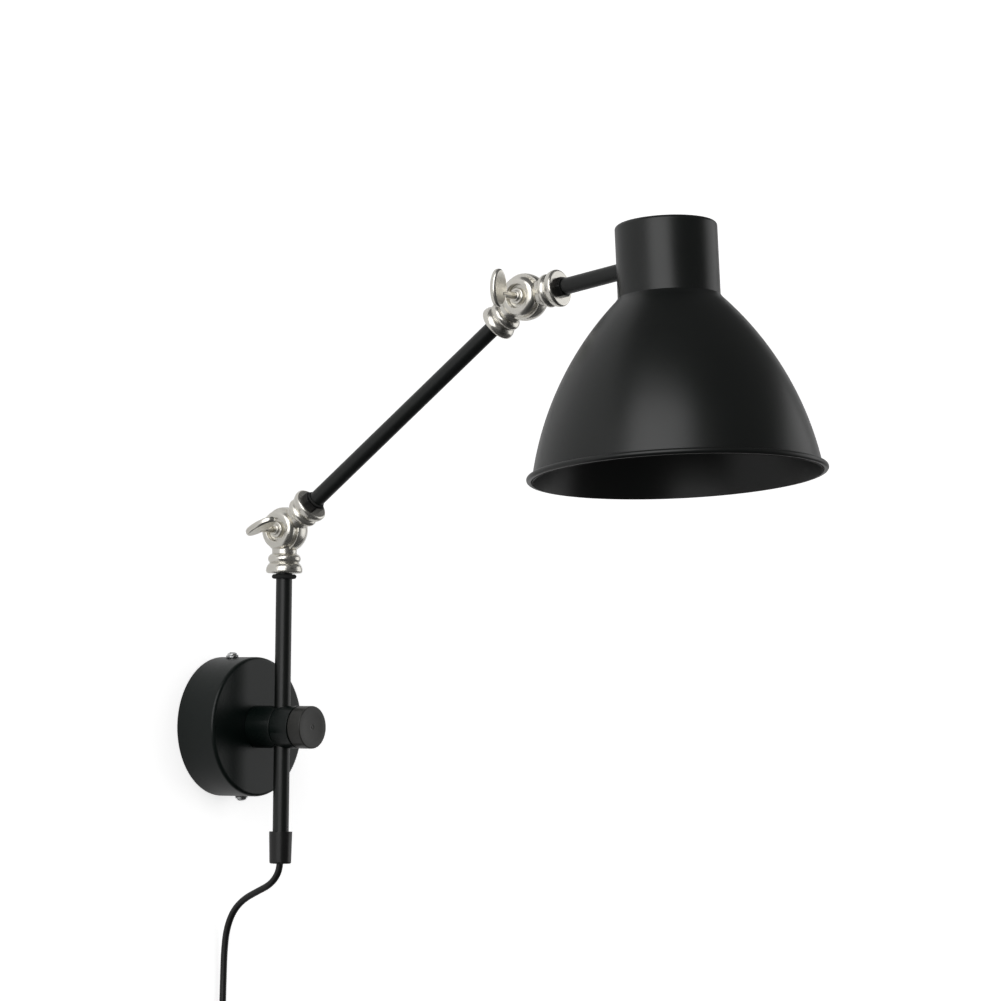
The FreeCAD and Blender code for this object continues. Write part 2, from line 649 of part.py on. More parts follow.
# ---- Head


def in_head(solid):
    """Moves a piece from the shade's own frame to the lamp."""
    lean = FreeCAD.Rotation(X, -SHADE_LEAN)
    roll = FreeCAD.Rotation(in_arm_plane(SHORT_ARM_RISE), SHADE_ROLL)
    placed = solid.copy()
    head = FreeCAD.Placement(SHADE_ORIGIN, roll.multiply(lean))
    placed.Placement = head.multiply(placed.Placement)
    return placed


def arm_path(radius):
    """A cylinder along the short arm that ends where its tube ends."""
    path = rod(radius, SHORT_ARM_SPAN - ARM_END - NECK_END, Z * NECK_END)
    return swung(path, SHORT_ARM_RISE, UPPER_PIVOT)


def shade_profile(inset):
    """The shade's outline, as corners and arcs, at this distance inside its outer skin."""
    neck = SHADE_NECK_RADIUS - inset
    top = SHADE_TOP - inset
    edge = SHADE_TOP_EDGE - inset
    corner = SHADE_TOP - SHADE_NECK_HEIGHT
    mouth = corner - SHADE_BELL_HEIGHT
    crown = quarter_arc(edge, neck - edge, top - edge, 45)
    chord_r, chord_h = SHADE_MOUTH_RADIUS - SHADE_NECK_RADIUS, mouth - corner
    chord = math.hypot(chord_r, chord_h)
    out_r, out_h = -chord_h / chord, chord_r / chord
    sagitta = SHADE_SAGITTA - inset
    middle = (SHADE_NECK_RADIUS + chord_r / 2 + out_r * sagitta, corner + chord_h / 2 + out_h * sagitta)
    shoulder = corner - inset * 0.4
    return top, edge, neck, crown, shoulder, middle, (SHADE_MOUTH_RADIUS - inset, mouth)


def shade_solid(inset, below=0.0):
    """The shade's outer shape, or with an inset its hollow, run on below the mouth."""
    top, edge, neck, crown, shoulder, middle, mouth = shade_profile(inset)
    moves = [(neck - edge, top), (crown, (neck, top - edge)), (neck, shoulder), (middle, mouth)]
    if below:
        moves.append((mouth[0], mouth[1] - below))
    moves.append((0, mouth[1] - below))
    return revolved((0, top), *moves)


def lamp_shade():
    """The spun shade: a straight neck, a curved bell and a rolled bead round its mouth."""
    mouth = SHADE_TOP - SHADE_NECK_HEIGHT - SHADE_BELL_HEIGHT
    shell = shade_solid(0.0).cut(shade_solid(SHADE_WALL, BEYOND))
    bead = Part.makeTorus(SHADE_MOUTH_RADIUS + BEAD_OFFSET, BEAD_RADIUS)
    bead.translate(Z * (mouth + BEAD_RADIUS))
    shade = shell.fuse(bead).cut(shade_solid(SHADE_WALL, 4 * BEAD_RADIUS))
    shade = in_head(shade).cut(arm_path(TUBE_RADIUS + RUNNING))
    keep("lamp_shade", largest(shade))


def holder_hub():
    """The block on the end of the short arm that carries the lampholder under it."""
    top = SHADE_TOP - SHADE_WALL - RUNNING
    hub = rod(HUB_RADIUS, top - HUB_BOTTOM, Z * HUB_BOTTOM)
    hub = hub.makeChamfer(0.8, [e for e in hub.Edges if isinstance(e.Curve, Part.Circle)])
    hub = hub.cut(rod(NIPPLE_RADIUS + SEATED, NIPPLE_TOP - HUB_BOTTOM + BEYOND, Z * (HUB_BOTTOM - BEYOND)))
    keep("holder_hub", in_head(hub).cut(arm_path(TUBE_RADIUS + SEATED)))
    nipple = sleeve(NIPPLE_RADIUS, NIPPLE_BORE, NIPPLE_LONG, Z * (NIPPLE_TOP - RUNNING - NIPPLE_LONG))
    keep("holder_nipple", in_head(nipple))


def lampholder():
    """The screw lampholder: cap, shell, insulating insert, threaded contact and centre contact."""
    hole = NIPPLE_RADIUS + SEATED
    inner = HOLDER_RADIUS - HOLDER_WALL
    cap_top, cap_low = HOLDER_CAP_TOP, SHELL_TOP
    shoulder = HOLDER_RADIUS * 0.42
    outer_arc = (HOLDER_RADIUS * 0.86, cap_top - HOLDER_CAP_LONG * 0.22)
    inner_arc = (outer_arc[0] - HOLDER_WALL * 0.7, outer_arc[1] - HOLDER_WALL * 0.8)
    cap = revolved((hole, cap_top), (shoulder, cap_top),
                   (outer_arc, (HOLDER_RADIUS, cap_top - HOLDER_CAP_LONG * 0.6)), (HOLDER_RADIUS, cap_low),
                   (inner, cap_low), (inner, cap_top - HOLDER_CAP_LONG * 0.6),
                   (inner_arc, (shoulder, cap_top - HOLDER_WALL)), (hole, cap_top - HOLDER_WALL))
    keep("lampholder_cap", in_head(cap))

    lip = HOLDER_RADIUS + HOLDER_LIP
    low, seam = SHELL_BOTTOM, SHELL_TOP - SEATED
    shell = revolved((inner, seam), (HOLDER_RADIUS, seam), (HOLDER_RADIUS, low + 4 * HOLDER_LIP),
                     (lip, low + 3 * HOLDER_LIP), (lip, low + HOLDER_LIP / 2), (lip - HOLDER_LIP / 2, low),
                     (inner, low))
    keep("lampholder_shell", in_head(shell))

    insert_top = SHELL_TOP - 2 * HOLDER_WALL
    floor = insert_top - INSERT_FLOOR
    insert_radius = inner - SKIN_GAP
    thread_out = SOCKET_RADIUS + SOCKET_WALL
    insert = revolved((0, insert_top), (insert_radius, insert_top), (insert_radius, floor - SOCKET_LONG),
                      (thread_out + SEATED, floor - SOCKET_LONG), (thread_out + SEATED, floor), (0, floor))
    keep("lampholder_insert", in_head(insert))
    thread_long = SOCKET_LONG - SEATED - CONTACT_THICK - CONTACT_GAP
    thread = sleeve(thread_out, SOCKET_RADIUS, thread_long, Z * (floor - SOCKET_LONG))
    keep("lamp_thread_contact", in_head(thread))
    contact = rod(CONTACT_RADIUS, CONTACT_THICK, Z * (floor - CONTACT_THICK - SEATED))
    keep("lamp_centre_contact", in_head(contact))


# ---- Supply cord


def rounded_path(points):
    """Straight runs joined by tangent arcs, each as large as its two runs allow."""
    points = [Vector(*p) for p in points]
    edges, here, radii = [], points[0], []
    for before, corner, after in zip(points, points[1:], points[2:]):
        back, ahead = before - corner, after - corner
        shorter = min(back.Length, ahead.Length)
        back.normalize()
        ahead.normalize()
        half_turn = (math.pi - back.getAngle(ahead)) / 2
        trim = CORD_BEND * shorter
        radii.append(trim / math.tan(half_turn))
        start, end = corner + back * trim, corner + ahead * trim
        to_centre = (back + ahead).normalize()
        bulge = radii[-1] * (1 / math.cos(half_turn) - 1)
        edges.append(Part.LineSegment(here, start).toShape())
        edges.append(Part.Arc(start, corner + to_centre * bulge, end).toShape())
        here = end
    edges.append(Part.LineSegment(here, points[-1]).toShape())
    print("cord bend radii:", " ".join(f"{r:.1f}" for r in radii))
    return Part.Wire(edges)


def cord_along(path):
    """The round cord along a path of lines and arcs."""
    first = path.Edges[0]
    start = first.valueAt(first.FirstParameter)
    ahead = first.tangentAt(first.FirstParameter)
    ring = Part.Wire([Part.Circle(start, ahead, CORD_RADIUS).toShape()])
    return path.makePipeShell([ring], True, False)


def coil_state(angle):
    """The coil's radius and its height over the first layer, at this angle from its start."""
    slope = COIL_PITCH / (2 * math.pi)
    climb_start = LAYER_TURNS * 2 * math.pi
    if angle <= climb_start:
        return COIL_RADIUS - slope * angle, 0.0
    inner = COIL_RADIUS - slope * climb_start
    past = angle - climb_start
    if past < math.pi:
        return inner - slope * past * (1 - past / math.pi), COIL_PITCH * (1 - math.cos(past)) / 2
    return inner + slope * (past - math.pi), COIL_PITCH


def coil_point(angle):
    """A point of the coil's centre line; it starts at its +X side and runs down."""
    radius, height = coil_state(angle)
    return COIL_CENTRE + Vector(radius * math.cos(angle), -height, -radius * math.sin(angle))


def coil_tangent(angle):
    """The direction of the coil's centre line."""
    step = 1e-5
    last = COIL_TURNS * 2 * math.pi
    before, after = max(angle - step, 0.0), min(angle + step, last)
    return (coil_point(after) - coil_point(before)).normalize()


def arc_from(start, tangent, end):
    """The arc from start, in the tangent's direction, to end."""
    chord = end - start
    angle = tangent.getAngle(chord)
    if angle < 1e-6:
        return Part.LineSegment(start, end).toShape()
    side = tangent - chord * (tangent.dot(chord) / chord.dot(chord))
    side.normalize()
    middle = (start + end) * 0.5 + side * (chord.Length / 2 * math.tan(angle / 2))
    return Part.Arc(start, middle, end).toShape()


def biarc(start, start_tangent, end, end_tangent):
    """Two arcs that meet smoothly and keep both end directions."""
    chord = end - start
    tangents = start_tangent + end_tangent
    a = 2 * start_tangent.dot(end_tangent) - 2
    b = -2 * chord.dot(tangents)
    c = chord.dot(chord)
    reach = -c / b if abs(a) < 1e-9 else (-b - math.sqrt(b * b - 4 * a * c)) / (2 * a)
    joint = (start + start_tangent * reach + end - end_tangent * reach) * 0.5
    first = arc_from(start, start_tangent, joint)
    second = arc_from(end, end_tangent * -1, joint)
    return [first, Part.Arc(joint, second.valueAt((second.FirstParameter + second.LastParameter) / 2),
                            end).toShape()]


def coil_path():
    """The coil's centre line, two arcs for each quarter turn, with a straight end each way."""
    quarters = COIL_TURNS * 4
    first, last = coil_point(0), coil_point(quarters * COIL_QUARTER)
    start_run = coil_tangent(0) * (2 * CORD_RADIUS)
    end_run = coil_tangent(quarters * COIL_QUARTER) * (2 * CORD_RADIUS)
    edges = [Part.LineSegment(first - start_run, first).toShape()]
    for quarter in range(quarters):
        a, b = quarter * COIL_QUARTER, (quarter + 1) * COIL_QUARTER
        edges += biarc(coil_point(a), coil_tangent(a), coil_point(b), coil_tangent(b))
    edges.append(Part.LineSegment(last, last + end_run).toShape())
    return Part.Wire(edges), first - start_run, last + end_run


def report_coil_gap():
    """Prints the least gap between the coil's turns, measured on points of its centre line."""
    per_turn = 48
    points = [coil_point(2 * math.pi * i / per_turn) for i in range(COIL_TURNS * per_turn + 1)]
    least = min((points[i] - points[j]).Length
                for i in range(len(points)) for j in range(i + per_turn // 2, len(points)))
    print(f"least gap between the coil's turns: {least - 2 * CORD_RADIUS:.2f}")


def supply_cord():
    """The cord from the end cap down the wall, its tied coil, and the plug that hangs from it."""
    path, coil_start, coil_end = coil_path()
    route = CORD_ROUTE + [tuple(coil_start)]
    drop = rounded_path(route)
    keep("supply_cord_drop", cord_along(drop))
    keep("supply_cord_coil", cord_along(path))
    tail_end = coil_end - Z * (CORD_TAIL - 2 * CORD_RADIUS)
    keep("supply_cord_tail", rod(CORD_RADIUS, (tail_end - coil_end).Length, coil_end, -Z))
    print(f"cord: drop {drop.Length:.0f}, coil {path.Length:.0f}, tail {CORD_TAIL:.0f}")
    report_coil_gap()
    coil_tie()
    mains_plug(tail_end)


def coil_tie():
    """The band that holds the coil's turns together on their -X side."""
    inner_turn = coil_state(LAYER_TURNS * 2 * math.pi)[0] - CORD_RADIUS - 2 * BEYOND
    outer_turn = COIL_RADIUS + CORD_RADIUS + SKIN_GAP
    near, far = CORD_RADIUS + SKIN_GAP, COIL_PITCH + CORD_RADIUS + SKIN_GAP
    half = TIE_WIDE / 2
    inside = block((-outer_turn, -far, -half - BEYOND), (-inner_turn, near, half + BEYOND))
    outside = block((-outer_turn - TIE_THICK, -far - TIE_THICK, -half),
                    (-inner_turn + TIE_THICK, near + TIE_THICK * 0.6, half))
    long_edges = [e for e in outside.Edges if abs(e.tangentAt(e.FirstParameter).z) > 0.9]
    band = outside.makeFillet(TIE_THICK * 1.2, long_edges).cut(inside)
    keep("coil_tie", placed_at(band, COIL_CENTRE))


def mains_plug(top):
    """A flat two-pin plug that hangs from the cord's end with its pins down."""
    relief = Part.makeCone(CORD_RADIUS * 1.5, PLUG_THICK * 0.42, PLUG_RELIEF, ORIGIN, -Z)
    body_top = -PLUG_RELIEF
    half_thick = PLUG_THICK / 2
    half_top, half_low = PLUG_WIDE / 2, PLUG_TIP_WIDE / 2
    body_low = body_top - PLUG_LONG
    corners = [Vector(-half_top, -half_thick, body_top), Vector(half_top, -half_thick, body_top),
               Vector(half_low, -half_thick, body_low), Vector(-half_low, -half_thick, body_low)]
    body = Part.Face(Part.makePolygon(corners + corners[:1])).extrude(Y * PLUG_THICK)
    body = body.makeFillet(PLUG_THICK * 0.22, body.Edges)
    plug = body.fuse(relief)
    pins = []
    for side in (1, -1):
        at = Vector(side * PIN_SPACING / 2, 0, body_low - PIN_LONG)
        pin = rod(PIN_RADIUS, PIN_LONG + 4, at)
        tip = [e for e in pin.Edges if abs(e.BoundBox.ZMax - at.z) < 1e-3]
        pins.append(pin.makeFillet(PIN_RADIUS * 0.6, tip))
    for pin in pins:
        plug = plug.cut(rod(PIN_RADIUS + SEATED / 3, 4 + SEATED + BEYOND,
                            Vector(pin.BoundBox.Center.x, 0, body_low - BEYOND)))
    keep("mains_plug", placed_at(largest(plug), top))
    keep("plug_pins", *[placed_at(pin, top) for pin in pins])


def build():
    """Builds every piece of the lamp."""
    wall_bracket()
    rose_cover()
    cover_screws()
    clamp_spindle()
    spindle_nuts()
    clamp_jaws()
    clamp_knob()
    swivel_liner()
    stem()
    knuckle("lower", LOWER_PIVOT, -90, LONG_ARM_RISE, LOWER_WING_ANGLE)
    long_arm()
    knuckle("upper", UPPER_PIVOT, LONG_ARM_RISE + 180, SHORT_ARM_RISE, UPPER_WING_ANGLE)
    short_arm()
    lamp_shade()
    holder_hub()
    lampholder()
    supply_cord()


build()
os.makedirs("parts", exist_ok=True)
for name, shape in PIECES.items():
    if not shape.isValid():
        print("not valid:", name)
    shape.exportStep(os.path.join("parts", name + ".step"))
print(len(PIECES), "pieces")
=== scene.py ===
"""Articulating wall lamp: the visible surfaces, finishes, cord, light and camera.

Each sub-assembly is a class that dresses its own pieces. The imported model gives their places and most
of their shapes. Lengths are in metres, except where a class says otherwise.
"""

import json
import logging
import math
from dataclasses import dataclass, field
from enum import Enum

import bmesh
import bpy
from mathutils import Matrix, Vector


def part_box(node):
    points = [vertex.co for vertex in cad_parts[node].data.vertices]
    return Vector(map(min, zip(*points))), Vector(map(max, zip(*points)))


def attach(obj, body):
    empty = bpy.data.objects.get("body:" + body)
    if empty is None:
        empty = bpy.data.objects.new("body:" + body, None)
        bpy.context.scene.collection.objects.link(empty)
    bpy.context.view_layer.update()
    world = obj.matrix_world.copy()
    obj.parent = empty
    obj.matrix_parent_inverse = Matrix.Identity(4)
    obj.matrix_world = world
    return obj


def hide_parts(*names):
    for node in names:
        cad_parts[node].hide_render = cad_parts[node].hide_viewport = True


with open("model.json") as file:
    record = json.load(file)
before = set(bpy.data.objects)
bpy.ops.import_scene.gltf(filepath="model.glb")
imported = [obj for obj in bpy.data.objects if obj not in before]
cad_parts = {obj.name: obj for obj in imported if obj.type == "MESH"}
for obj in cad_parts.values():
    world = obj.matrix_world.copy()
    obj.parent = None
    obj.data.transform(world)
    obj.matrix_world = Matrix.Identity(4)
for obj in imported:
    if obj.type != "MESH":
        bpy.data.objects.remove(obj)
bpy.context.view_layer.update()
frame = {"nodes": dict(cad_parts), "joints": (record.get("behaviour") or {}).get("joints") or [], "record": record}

MM = 0.001
FULL_TURN = 2 * math.pi
SAME_POINT = 1e-7  # two points of a turned section nearer than this are one
SAME_CORNER = 1e-6  # and so are two corners of a CAD mesh's triangles
SHARP = 35.0  # degrees, over which a piece's edge shows
MOULDED_SHARP = 30.0
BAND = 0.2 * MM  # a narrow ring beside a rounded edge, which keeps the edge's shading to itself
EASE = 0.5  # how far each round of easing moves a point towards its neighbours
LOG = logging.getLogger("wall_lamp")
Z = Vector((0, 0, 1))
OUT = Vector((0, -1, 0))  # away from the wall


class Surface(Enum):
    """The kind of fine relief that a finish has."""

    SPECKLED = "speckled"
    TURNED = "turned"
    FACED = "faced"
    MOULDED = "moulded"


class Graph:
    """A short way to write a material's or a modifier's nodes."""

    def __init__(self, tree: bpy.types.NodeTree) -> None:
        """Starts from an empty tree."""
        self.tree = tree
        self.tree.nodes.clear()

    def add(self, kind: str, inputs: dict | None = None, **settings) -> bpy.types.Node:
        """Adds a node.

        Args:
            kind: the node's type name.
            inputs: socket name or number to a value, or to another node's output.
            settings: the node's own properties.

        Returns:
            The new node.
        """
        node = self.tree.nodes.new(kind)
        for key, value in settings.items():
            setattr(node, key, value)
        for key, value in (inputs or {}).items():
            if isinstance(value, bpy.types.NodeSocket):
                self.tree.links.new(value, node.inputs[key])
            else:
                node.inputs[key].default_value = value
        return node

    def blend(self, share: bpy.types.NodeSocket, low: tuple, high: tuple) -> bpy.types.NodeSocket:
        """A colour between low and high by a share from 0 to 1."""
        ramp = self.add("ShaderNodeValToRGB", {"Fac": share})
        for stop, colour in zip(ramp.color_ramp.elements, (low, high)):
            stop.color = (*colour, 1.0)
        return ramp.outputs["Color"]

    def spread(self, share: bpy.types.NodeSocket, low: float, high: float) -> bpy.types.NodeSocket:
        """A number between low and high by a share from 0 to 1."""
        return self.add("ShaderNodeMapRange", {"Value": share, "To Min": low, "To Max": high}).outputs[0]

    def math(self, operation: str, *values: float | bpy.types.NodeSocket) -> bpy.types.NodeSocket:
        """The result of one arithmetic operation on numbers or sockets."""
        return self.add("ShaderNodeMath", dict(enumerate(values)), operation=operation).outputs[0]

    def noise(self, place: bpy.types.NodeSocket, scale: float, detail: float) -> bpy.types.NodeSocket:
        """A noise pattern's value over the piece."""
        noise = self.add("ShaderNodeTexNoise", {"Vector": place, "Scale": scale, "Detail": detail})
        return noise.outputs[0]


# ---- Finishes

BROAD_SCALE, BROAD_DETAIL = 22.0, 3.0  # of the slow change in colour and gloss over a piece
FINE_DETAIL = 2.0
RELIEF_DEEP = 0.2 * MM
RING_WOBBLE = 0.6  # of the fine rings on a turned face
ACROSS = 0.12  # the grain's scale across a turned piece's axis, where along it is 1
HOLLOW, RIDGE = 0.44, 0.51  # Pointiness where a casting is hollow and along its ridges, between which its painted shade fades out


@dataclass(frozen=True)
class Finish:
    """One finish of the lamp: its colour, gloss and relief."""

    name: str
    slot: str
    colour: tuple
    roughness: float
    metallic: float = 0.0
    surface: Surface = Surface.MOULDED
    grain: float = 900.0
    relief: float = 0.1
    uneven: float = 0.12
    gloss_range: float = 0.06
    coat: float = 0.0
    shine: float = 0.5  # how strongly the bare surface mirrors, where 0.5 is usual
    axis: tuple = (0, 0, 1)
    hollow_shade: float = 0.0  # how much painted shade darkens the hollow places

    def material(self) -> bpy.types.Material:
        """The finish's node material, made once."""
        made = bpy.data.materials.get(self.name)
        if made:
            return made
        made = bpy.data.materials.new(self.name)
        made.use_nodes = True
        graph = Graph(made.node_tree)
        place = graph.add("ShaderNodeTexCoord").outputs["Object"]
        broad = graph.noise(place, BROAD_SCALE, BROAD_DETAIL)
        fine = graph.noise(self._along_grain(graph, place), self.grain, FINE_DETAIL)
        shade = [tuple(c * k for c in self.colour) for k in (1 - self.uneven, 1 + self.uneven)]
        share = graph.math("MULTIPLY", graph.math("ADD", broad, fine), 0.5)
        low, high = self.roughness - self.gloss_range, self.roughness + self.gloss_range
        colour = graph.blend(share, *shade)
        # painted shade where a casting is hollow
        if self.hollow_shade:
            colour = self._paint_hollow_shade(graph, colour)
        shader = graph.add("ShaderNodeBsdfPrincipled", {
            "Base Color": colour,
            "Roughness": graph.spread(broad, low, high),
            "Metallic": self.metallic,
            "Coat Weight": self.coat,
            "Specular IOR Level": self.shine,
        })
        height = self._turning_marks(graph, place) if self.surface is Surface.FACED else fine
        bump = graph.add("ShaderNodeBump", {
            "Strength": self.relief, "Distance": RELIEF_DEEP, "Height": height})
        graph.tree.links.new(bump.outputs["Normal"], shader.inputs["Normal"])
        graph.add("ShaderNodeOutputMaterial", {"Surface": shader.outputs[0]})
        return made

    def _paint_hollow_shade(self, graph: Graph, colour: bpy.types.NodeSocket) -> bpy.types.NodeSocket:
        """The colour with painted shade: darker where the surface is hollow, fading out along its ridges."""
        bend = graph.add("ShaderNodeNewGeometry").outputs["Pointiness"]
        share = graph.add("ShaderNodeMapRange", {"Value": bend, "From Min": HOLLOW, "From Max": RIDGE})
        dark = graph.spread(share.outputs[0], 1.0 - self.hollow_shade, 1.0)
        mixed = graph.add("ShaderNodeVectorMath", {0: colour, 1: dark}, operation="MULTIPLY")
        return mixed.outputs[0]

    def _turning_marks(self, graph: Graph, place: bpy.types.NodeSocket) -> bpy.types.NodeSocket:
        """Fine rings round the axis that a turned face shows."""
        direction = "XYZ"[max(range(3), key=lambda i: abs(self.axis[i]))]
        wave = graph.add("ShaderNodeTexWave", {
            "Vector": place, "Scale": self.grain, "Distortion": RING_WOBBLE},
            wave_type="RINGS", rings_direction=direction)
        return wave.outputs["Fac"]

    def _along_grain(self, graph: Graph, place: bpy.types.NodeSocket) -> bpy.types.NodeSocket:
        """Object coordinates, drawn out across the axis on a turned surface."""
        if self.surface is not Surface.TURNED:
            return place
        stretch = tuple(ACROSS + (1 - ACROSS) * abs(c) for c in self.axis)
        return graph.add("ShaderNodeMapping", {"Vector": place, "Scale": stretch}).outputs[0]


POWDER_COAT = Finish("powder_coat_black", "black_metal", (0.0046, 0.0058, 0.0053), 0.34,
                     surface=Surface.SPECKLED, grain=1500.0, relief=0.16, uneven=0.16)
COVER_COAT = Finish("powder_coat_cover", "black_metal", (0.0024, 0.0056, 0.0046), 0.34,
                    surface=Surface.SPECKLED, grain=1500.0, relief=0.16, uneven=0.16, shine=0.36)
# a turned black coat, lighter than the others: its lighter colour is painted sheen for part of its face's
# reflection
KNOB_FACE = Finish("powder_coat_turned", "black_metal", (0.0240, 0.0240, 0.0215), 0.38,
                   surface=Surface.FACED, grain=330.0, relief=0.10, uneven=0.12, axis=(0, 1, 0))
# the nickel castings get painted shade where they are hollow
SATIN_NICKEL = Finish("satin_nickel", "nickel", (0.86, 0.835, 0.77), 0.27, metallic=1.0,
                      surface=Surface.MOULDED, grain=900.0, relief=0.05, uneven=0.06, gloss_range=0.05,
                      hollow_shade=0.45)
ZINC_STEEL = Finish("zinc_plated_steel", "zinc_steel", (0.68, 0.69, 0.69), 0.28, metallic=1.0,
                    surface=Surface.TURNED, grain=1600.0, relief=0.05, uneven=0.1, gloss_range=0.08)
BLACK_NUT = Finish("black_oxide_nut", "black_metal", (0.007, 0.007, 0.0072), 0.34, metallic=0.4,
                   surface=Surface.TURNED, grain=1500.0, relief=0.08)
BLACK_PLASTIC = Finish("black_moulded_plastic", "black_plastic", (0.0065, 0.0067, 0.0066), 0.34,
                       surface=Surface.MOULDED, grain=2200.0, relief=0.08)
BLACK_RUBBER = Finish("black_rubber", "black_rubber", (0.0055, 0.0055, 0.0057), 0.45,
                      surface=Surface.MOULDED, grain=1800.0, relief=0.1)
CORD_JACKET = Finish("cord_jacket_black", "cord_black", (0.0065, 0.0067, 0.0067), 0.38,
                     surface=Surface.MOULDED, grain=1200.0, relief=0.1)
PORCELAIN = Finish("glazed_porcelain", "porcelain", (0.78, 0.765, 0.72), 0.18,
                   surface=Surface.MOULDED, grain=300.0, relief=0.04, uneven=0.03, coat=0.5)
BRASS = Finish("contact_brass", "brass_contact", (0.78, 0.58, 0.29), 0.28, metallic=1.0,
               surface=Surface.TURNED, grain=1400.0, relief=0.05, uneven=0.08)
FIBRE = Finish("vulcanised_fibre", "fibre", (0.17, 0.09, 0.06), 0.7,
               surface=Surface.SPECKLED, grain=900.0, relief=0.2)

# ---- Meshes


def arc(start: tuple, middle: tuple, end: tuple, steps: int) -> list[tuple]:
    """Points of a circle's arc.

    Args:
        start, middle, end: three points of the arc, as radius and height.
        steps: how many chords it is cut into.

    Returns:
        The points after start, up to end.
    """
    (ax, ay), (bx, by), (cx, cy) = start, middle, end
    d = 2 * (ax * (by - cy) + bx * (cy - ay) + cx * (ay - by))
    a2, b2, c2 = ax * ax + ay * ay, bx * bx + by * by, cx * cx + cy * cy
    ux = (a2 * (by - cy) + b2 * (cy - ay) + c2 * (ay - by)) / d
    uy = (a2 * (cx - bx) + b2 * (ax - cx) + c2 * (bx - ax)) / d
    radius = math.hypot(ax - ux, ay - uy)
    first, half, last = (math.atan2(y - uy, x - ux) for x, y in (start, middle, end))
    half = first + math.remainder(half - first, FULL_TURN)
    last = half + math.remainder(last - half, FULL_TURN)
    angles = [first + (last - first) * i / steps for i in range(1, steps + 1)]
    return [(ux + radius * math.cos(a), uy + radius * math.sin(a)) for a in angles]


def rounded(flat: float, side: float, edge: float, steps: int, inwards: bool = False) -> list[tuple]:
    """Points of a turned piece's rounded outer edge.

    Args:
        flat: the radius where the flat ends.
        side: the height where the side ends.
        edge: the edge's own radius.
        steps: how many chords it is cut into.
        inwards: whether it runs from the side in to the flat, and not from the flat out.

    Returns:
        The points with both ends.
    """
    ends = [(flat, side + edge), (flat + edge, side)]
    start, end = reversed(ends) if inwards else ends
    middle = edge * math.sqrt(0.5)
    return [start, *arc(start, (flat + middle, side + middle), end, steps)]


def place_along(base: Vector, axis: Vector) -> Matrix:
    """The place of a piece whose own +Z lies along axis from base."""
    return Matrix.Translation(base) @ Z.rotation_difference(axis).to_matrix().to_4x4()


def finished(mesh: bpy.types.Mesh, sharp: float = SHARP) -> bpy.types.Mesh:
    """Shades a mesh smooth except over edges sharper than this many degrees."""
    mesh.shade_smooth()
    mesh.set_sharp_from_angle(angle=math.radians(sharp))
    return mesh


def lathe(name: str, outline: list[tuple], place: Matrix, segments: int,
          closed: bool = False) -> bpy.types.Object:
    """A turned piece.

    Args:
        name: the piece's name.
        outline: points of its section, as radius and height.
        place: where its own frame goes.
        segments: facets round the axis.
        closed: whether the section closes on itself, and doesn't start and end on the axis.

    Returns:
        The new object.
    """
    shape = bmesh.new()
    rings = []
    turns = [FULL_TURN * i / segments for i in range(segments)]
    for radius, height in outline:
        around = turns if radius > SAME_POINT else turns[:1]
        ring = [(radius * math.cos(a), radius * math.sin(a), height) for a in around]
        rings.append([shape.verts.new(point) for point in ring])
    for low, high in zip(rings, rings[1:] + rings[:1] if closed else rings[1:]):
        for i in range(segments):
            j = (i + 1) % segments
            corners = [low[i % len(low)], low[j % len(low)], high[j % len(high)], high[i % len(high)]]
            face = list(dict.fromkeys(corners))
            if len(face) > 2:
                shape.faces.new(face)
    bmesh.ops.remove_doubles(shape, verts=shape.verts, dist=SAME_POINT)
    bmesh.ops.recalc_face_normals(shape, faces=shape.faces)
    mesh = bpy.data.meshes.new(name)
    shape.to_mesh(mesh)
    shape.free()
    mesh.transform(place)
    return linked(name, finished(mesh))


def drill(radius: float, reach: float, place: Matrix, segments: int = 48) -> bpy.types.Object:
    """A round bar that cuts a hole along its own axis."""
    return lathe("drill", [(0, 0), (radius, 0), (radius, reach), (0, reach)], place, segments)


def linked(name: str, data: bpy.types.ID) -> bpy.types.Object:
    """A new object with this data, in the scene."""
    made = bpy.data.objects.new(name, data)
    bpy.context.scene.collection.objects.link(made)
    return made


def merged_copy(node: str, name: str) -> bpy.types.Object:
    """A copy of a CAD node's mesh with its loose triangles joined."""
    mesh = frame["nodes"][node].data.copy()
    shape = bmesh.new()
    shape.from_mesh(mesh)
    bmesh.ops.remove_doubles(shape, verts=shape.verts, dist=SAME_CORNER)
    shape.to_mesh(mesh)
    shape.free()
    mesh.materials.clear()
    mesh.name = name
    return linked(name, mesh)


def bake(piece: bpy.types.Object) -> None:
    """Applies a piece's modifiers to its mesh."""
    graph = bpy.context.evaluated_depsgraph_get()
    mesh = bpy.data.meshes.new_from_object(piece.evaluated_get(graph))
    piece.modifiers.clear()
    piece.data = mesh


def cut_by(piece: bpy.types.Object, tool: bpy.types.Object) -> None:
    """Cuts a tool's volume out of a piece and removes the tool."""
    step = piece.modifiers.new("cut", "BOOLEAN")
    step.operation, step.solver, step.object = "DIFFERENCE", "EXACT", tool
    bake(piece)
    bpy.data.objects.remove(tool)


def soft_cast(node: str, voxel: float, rounds: int, grown: float) -> bpy.types.Object:
    """A CAD node with its edges eased all over, as a polished casting has.

    Args:
        node: the CAD node.
        voxel: the size of the mesh's cells.
        rounds: how many times the edges are eased.
        grown: how far the surface is moved out, to make up for the easing.

    Returns:
        The new object.
    """
    piece = merged_copy(node, node + "_cast")
    cells = piece.modifiers.new("cells", "REMESH")
    cells.mode, cells.voxel_size, cells.use_smooth_shade = "VOXEL", voxel, True
    ease = piece.modifiers.new("ease", "SMOOTH")
    ease.factor, ease.iterations = EASE, rounds
    out = piece.modifiers.new("grown", "DISPLACE")
    out.strength, out.mid_level = grown, 0.0
    bake(piece)
    piece.data.shade_smooth()
    return piece


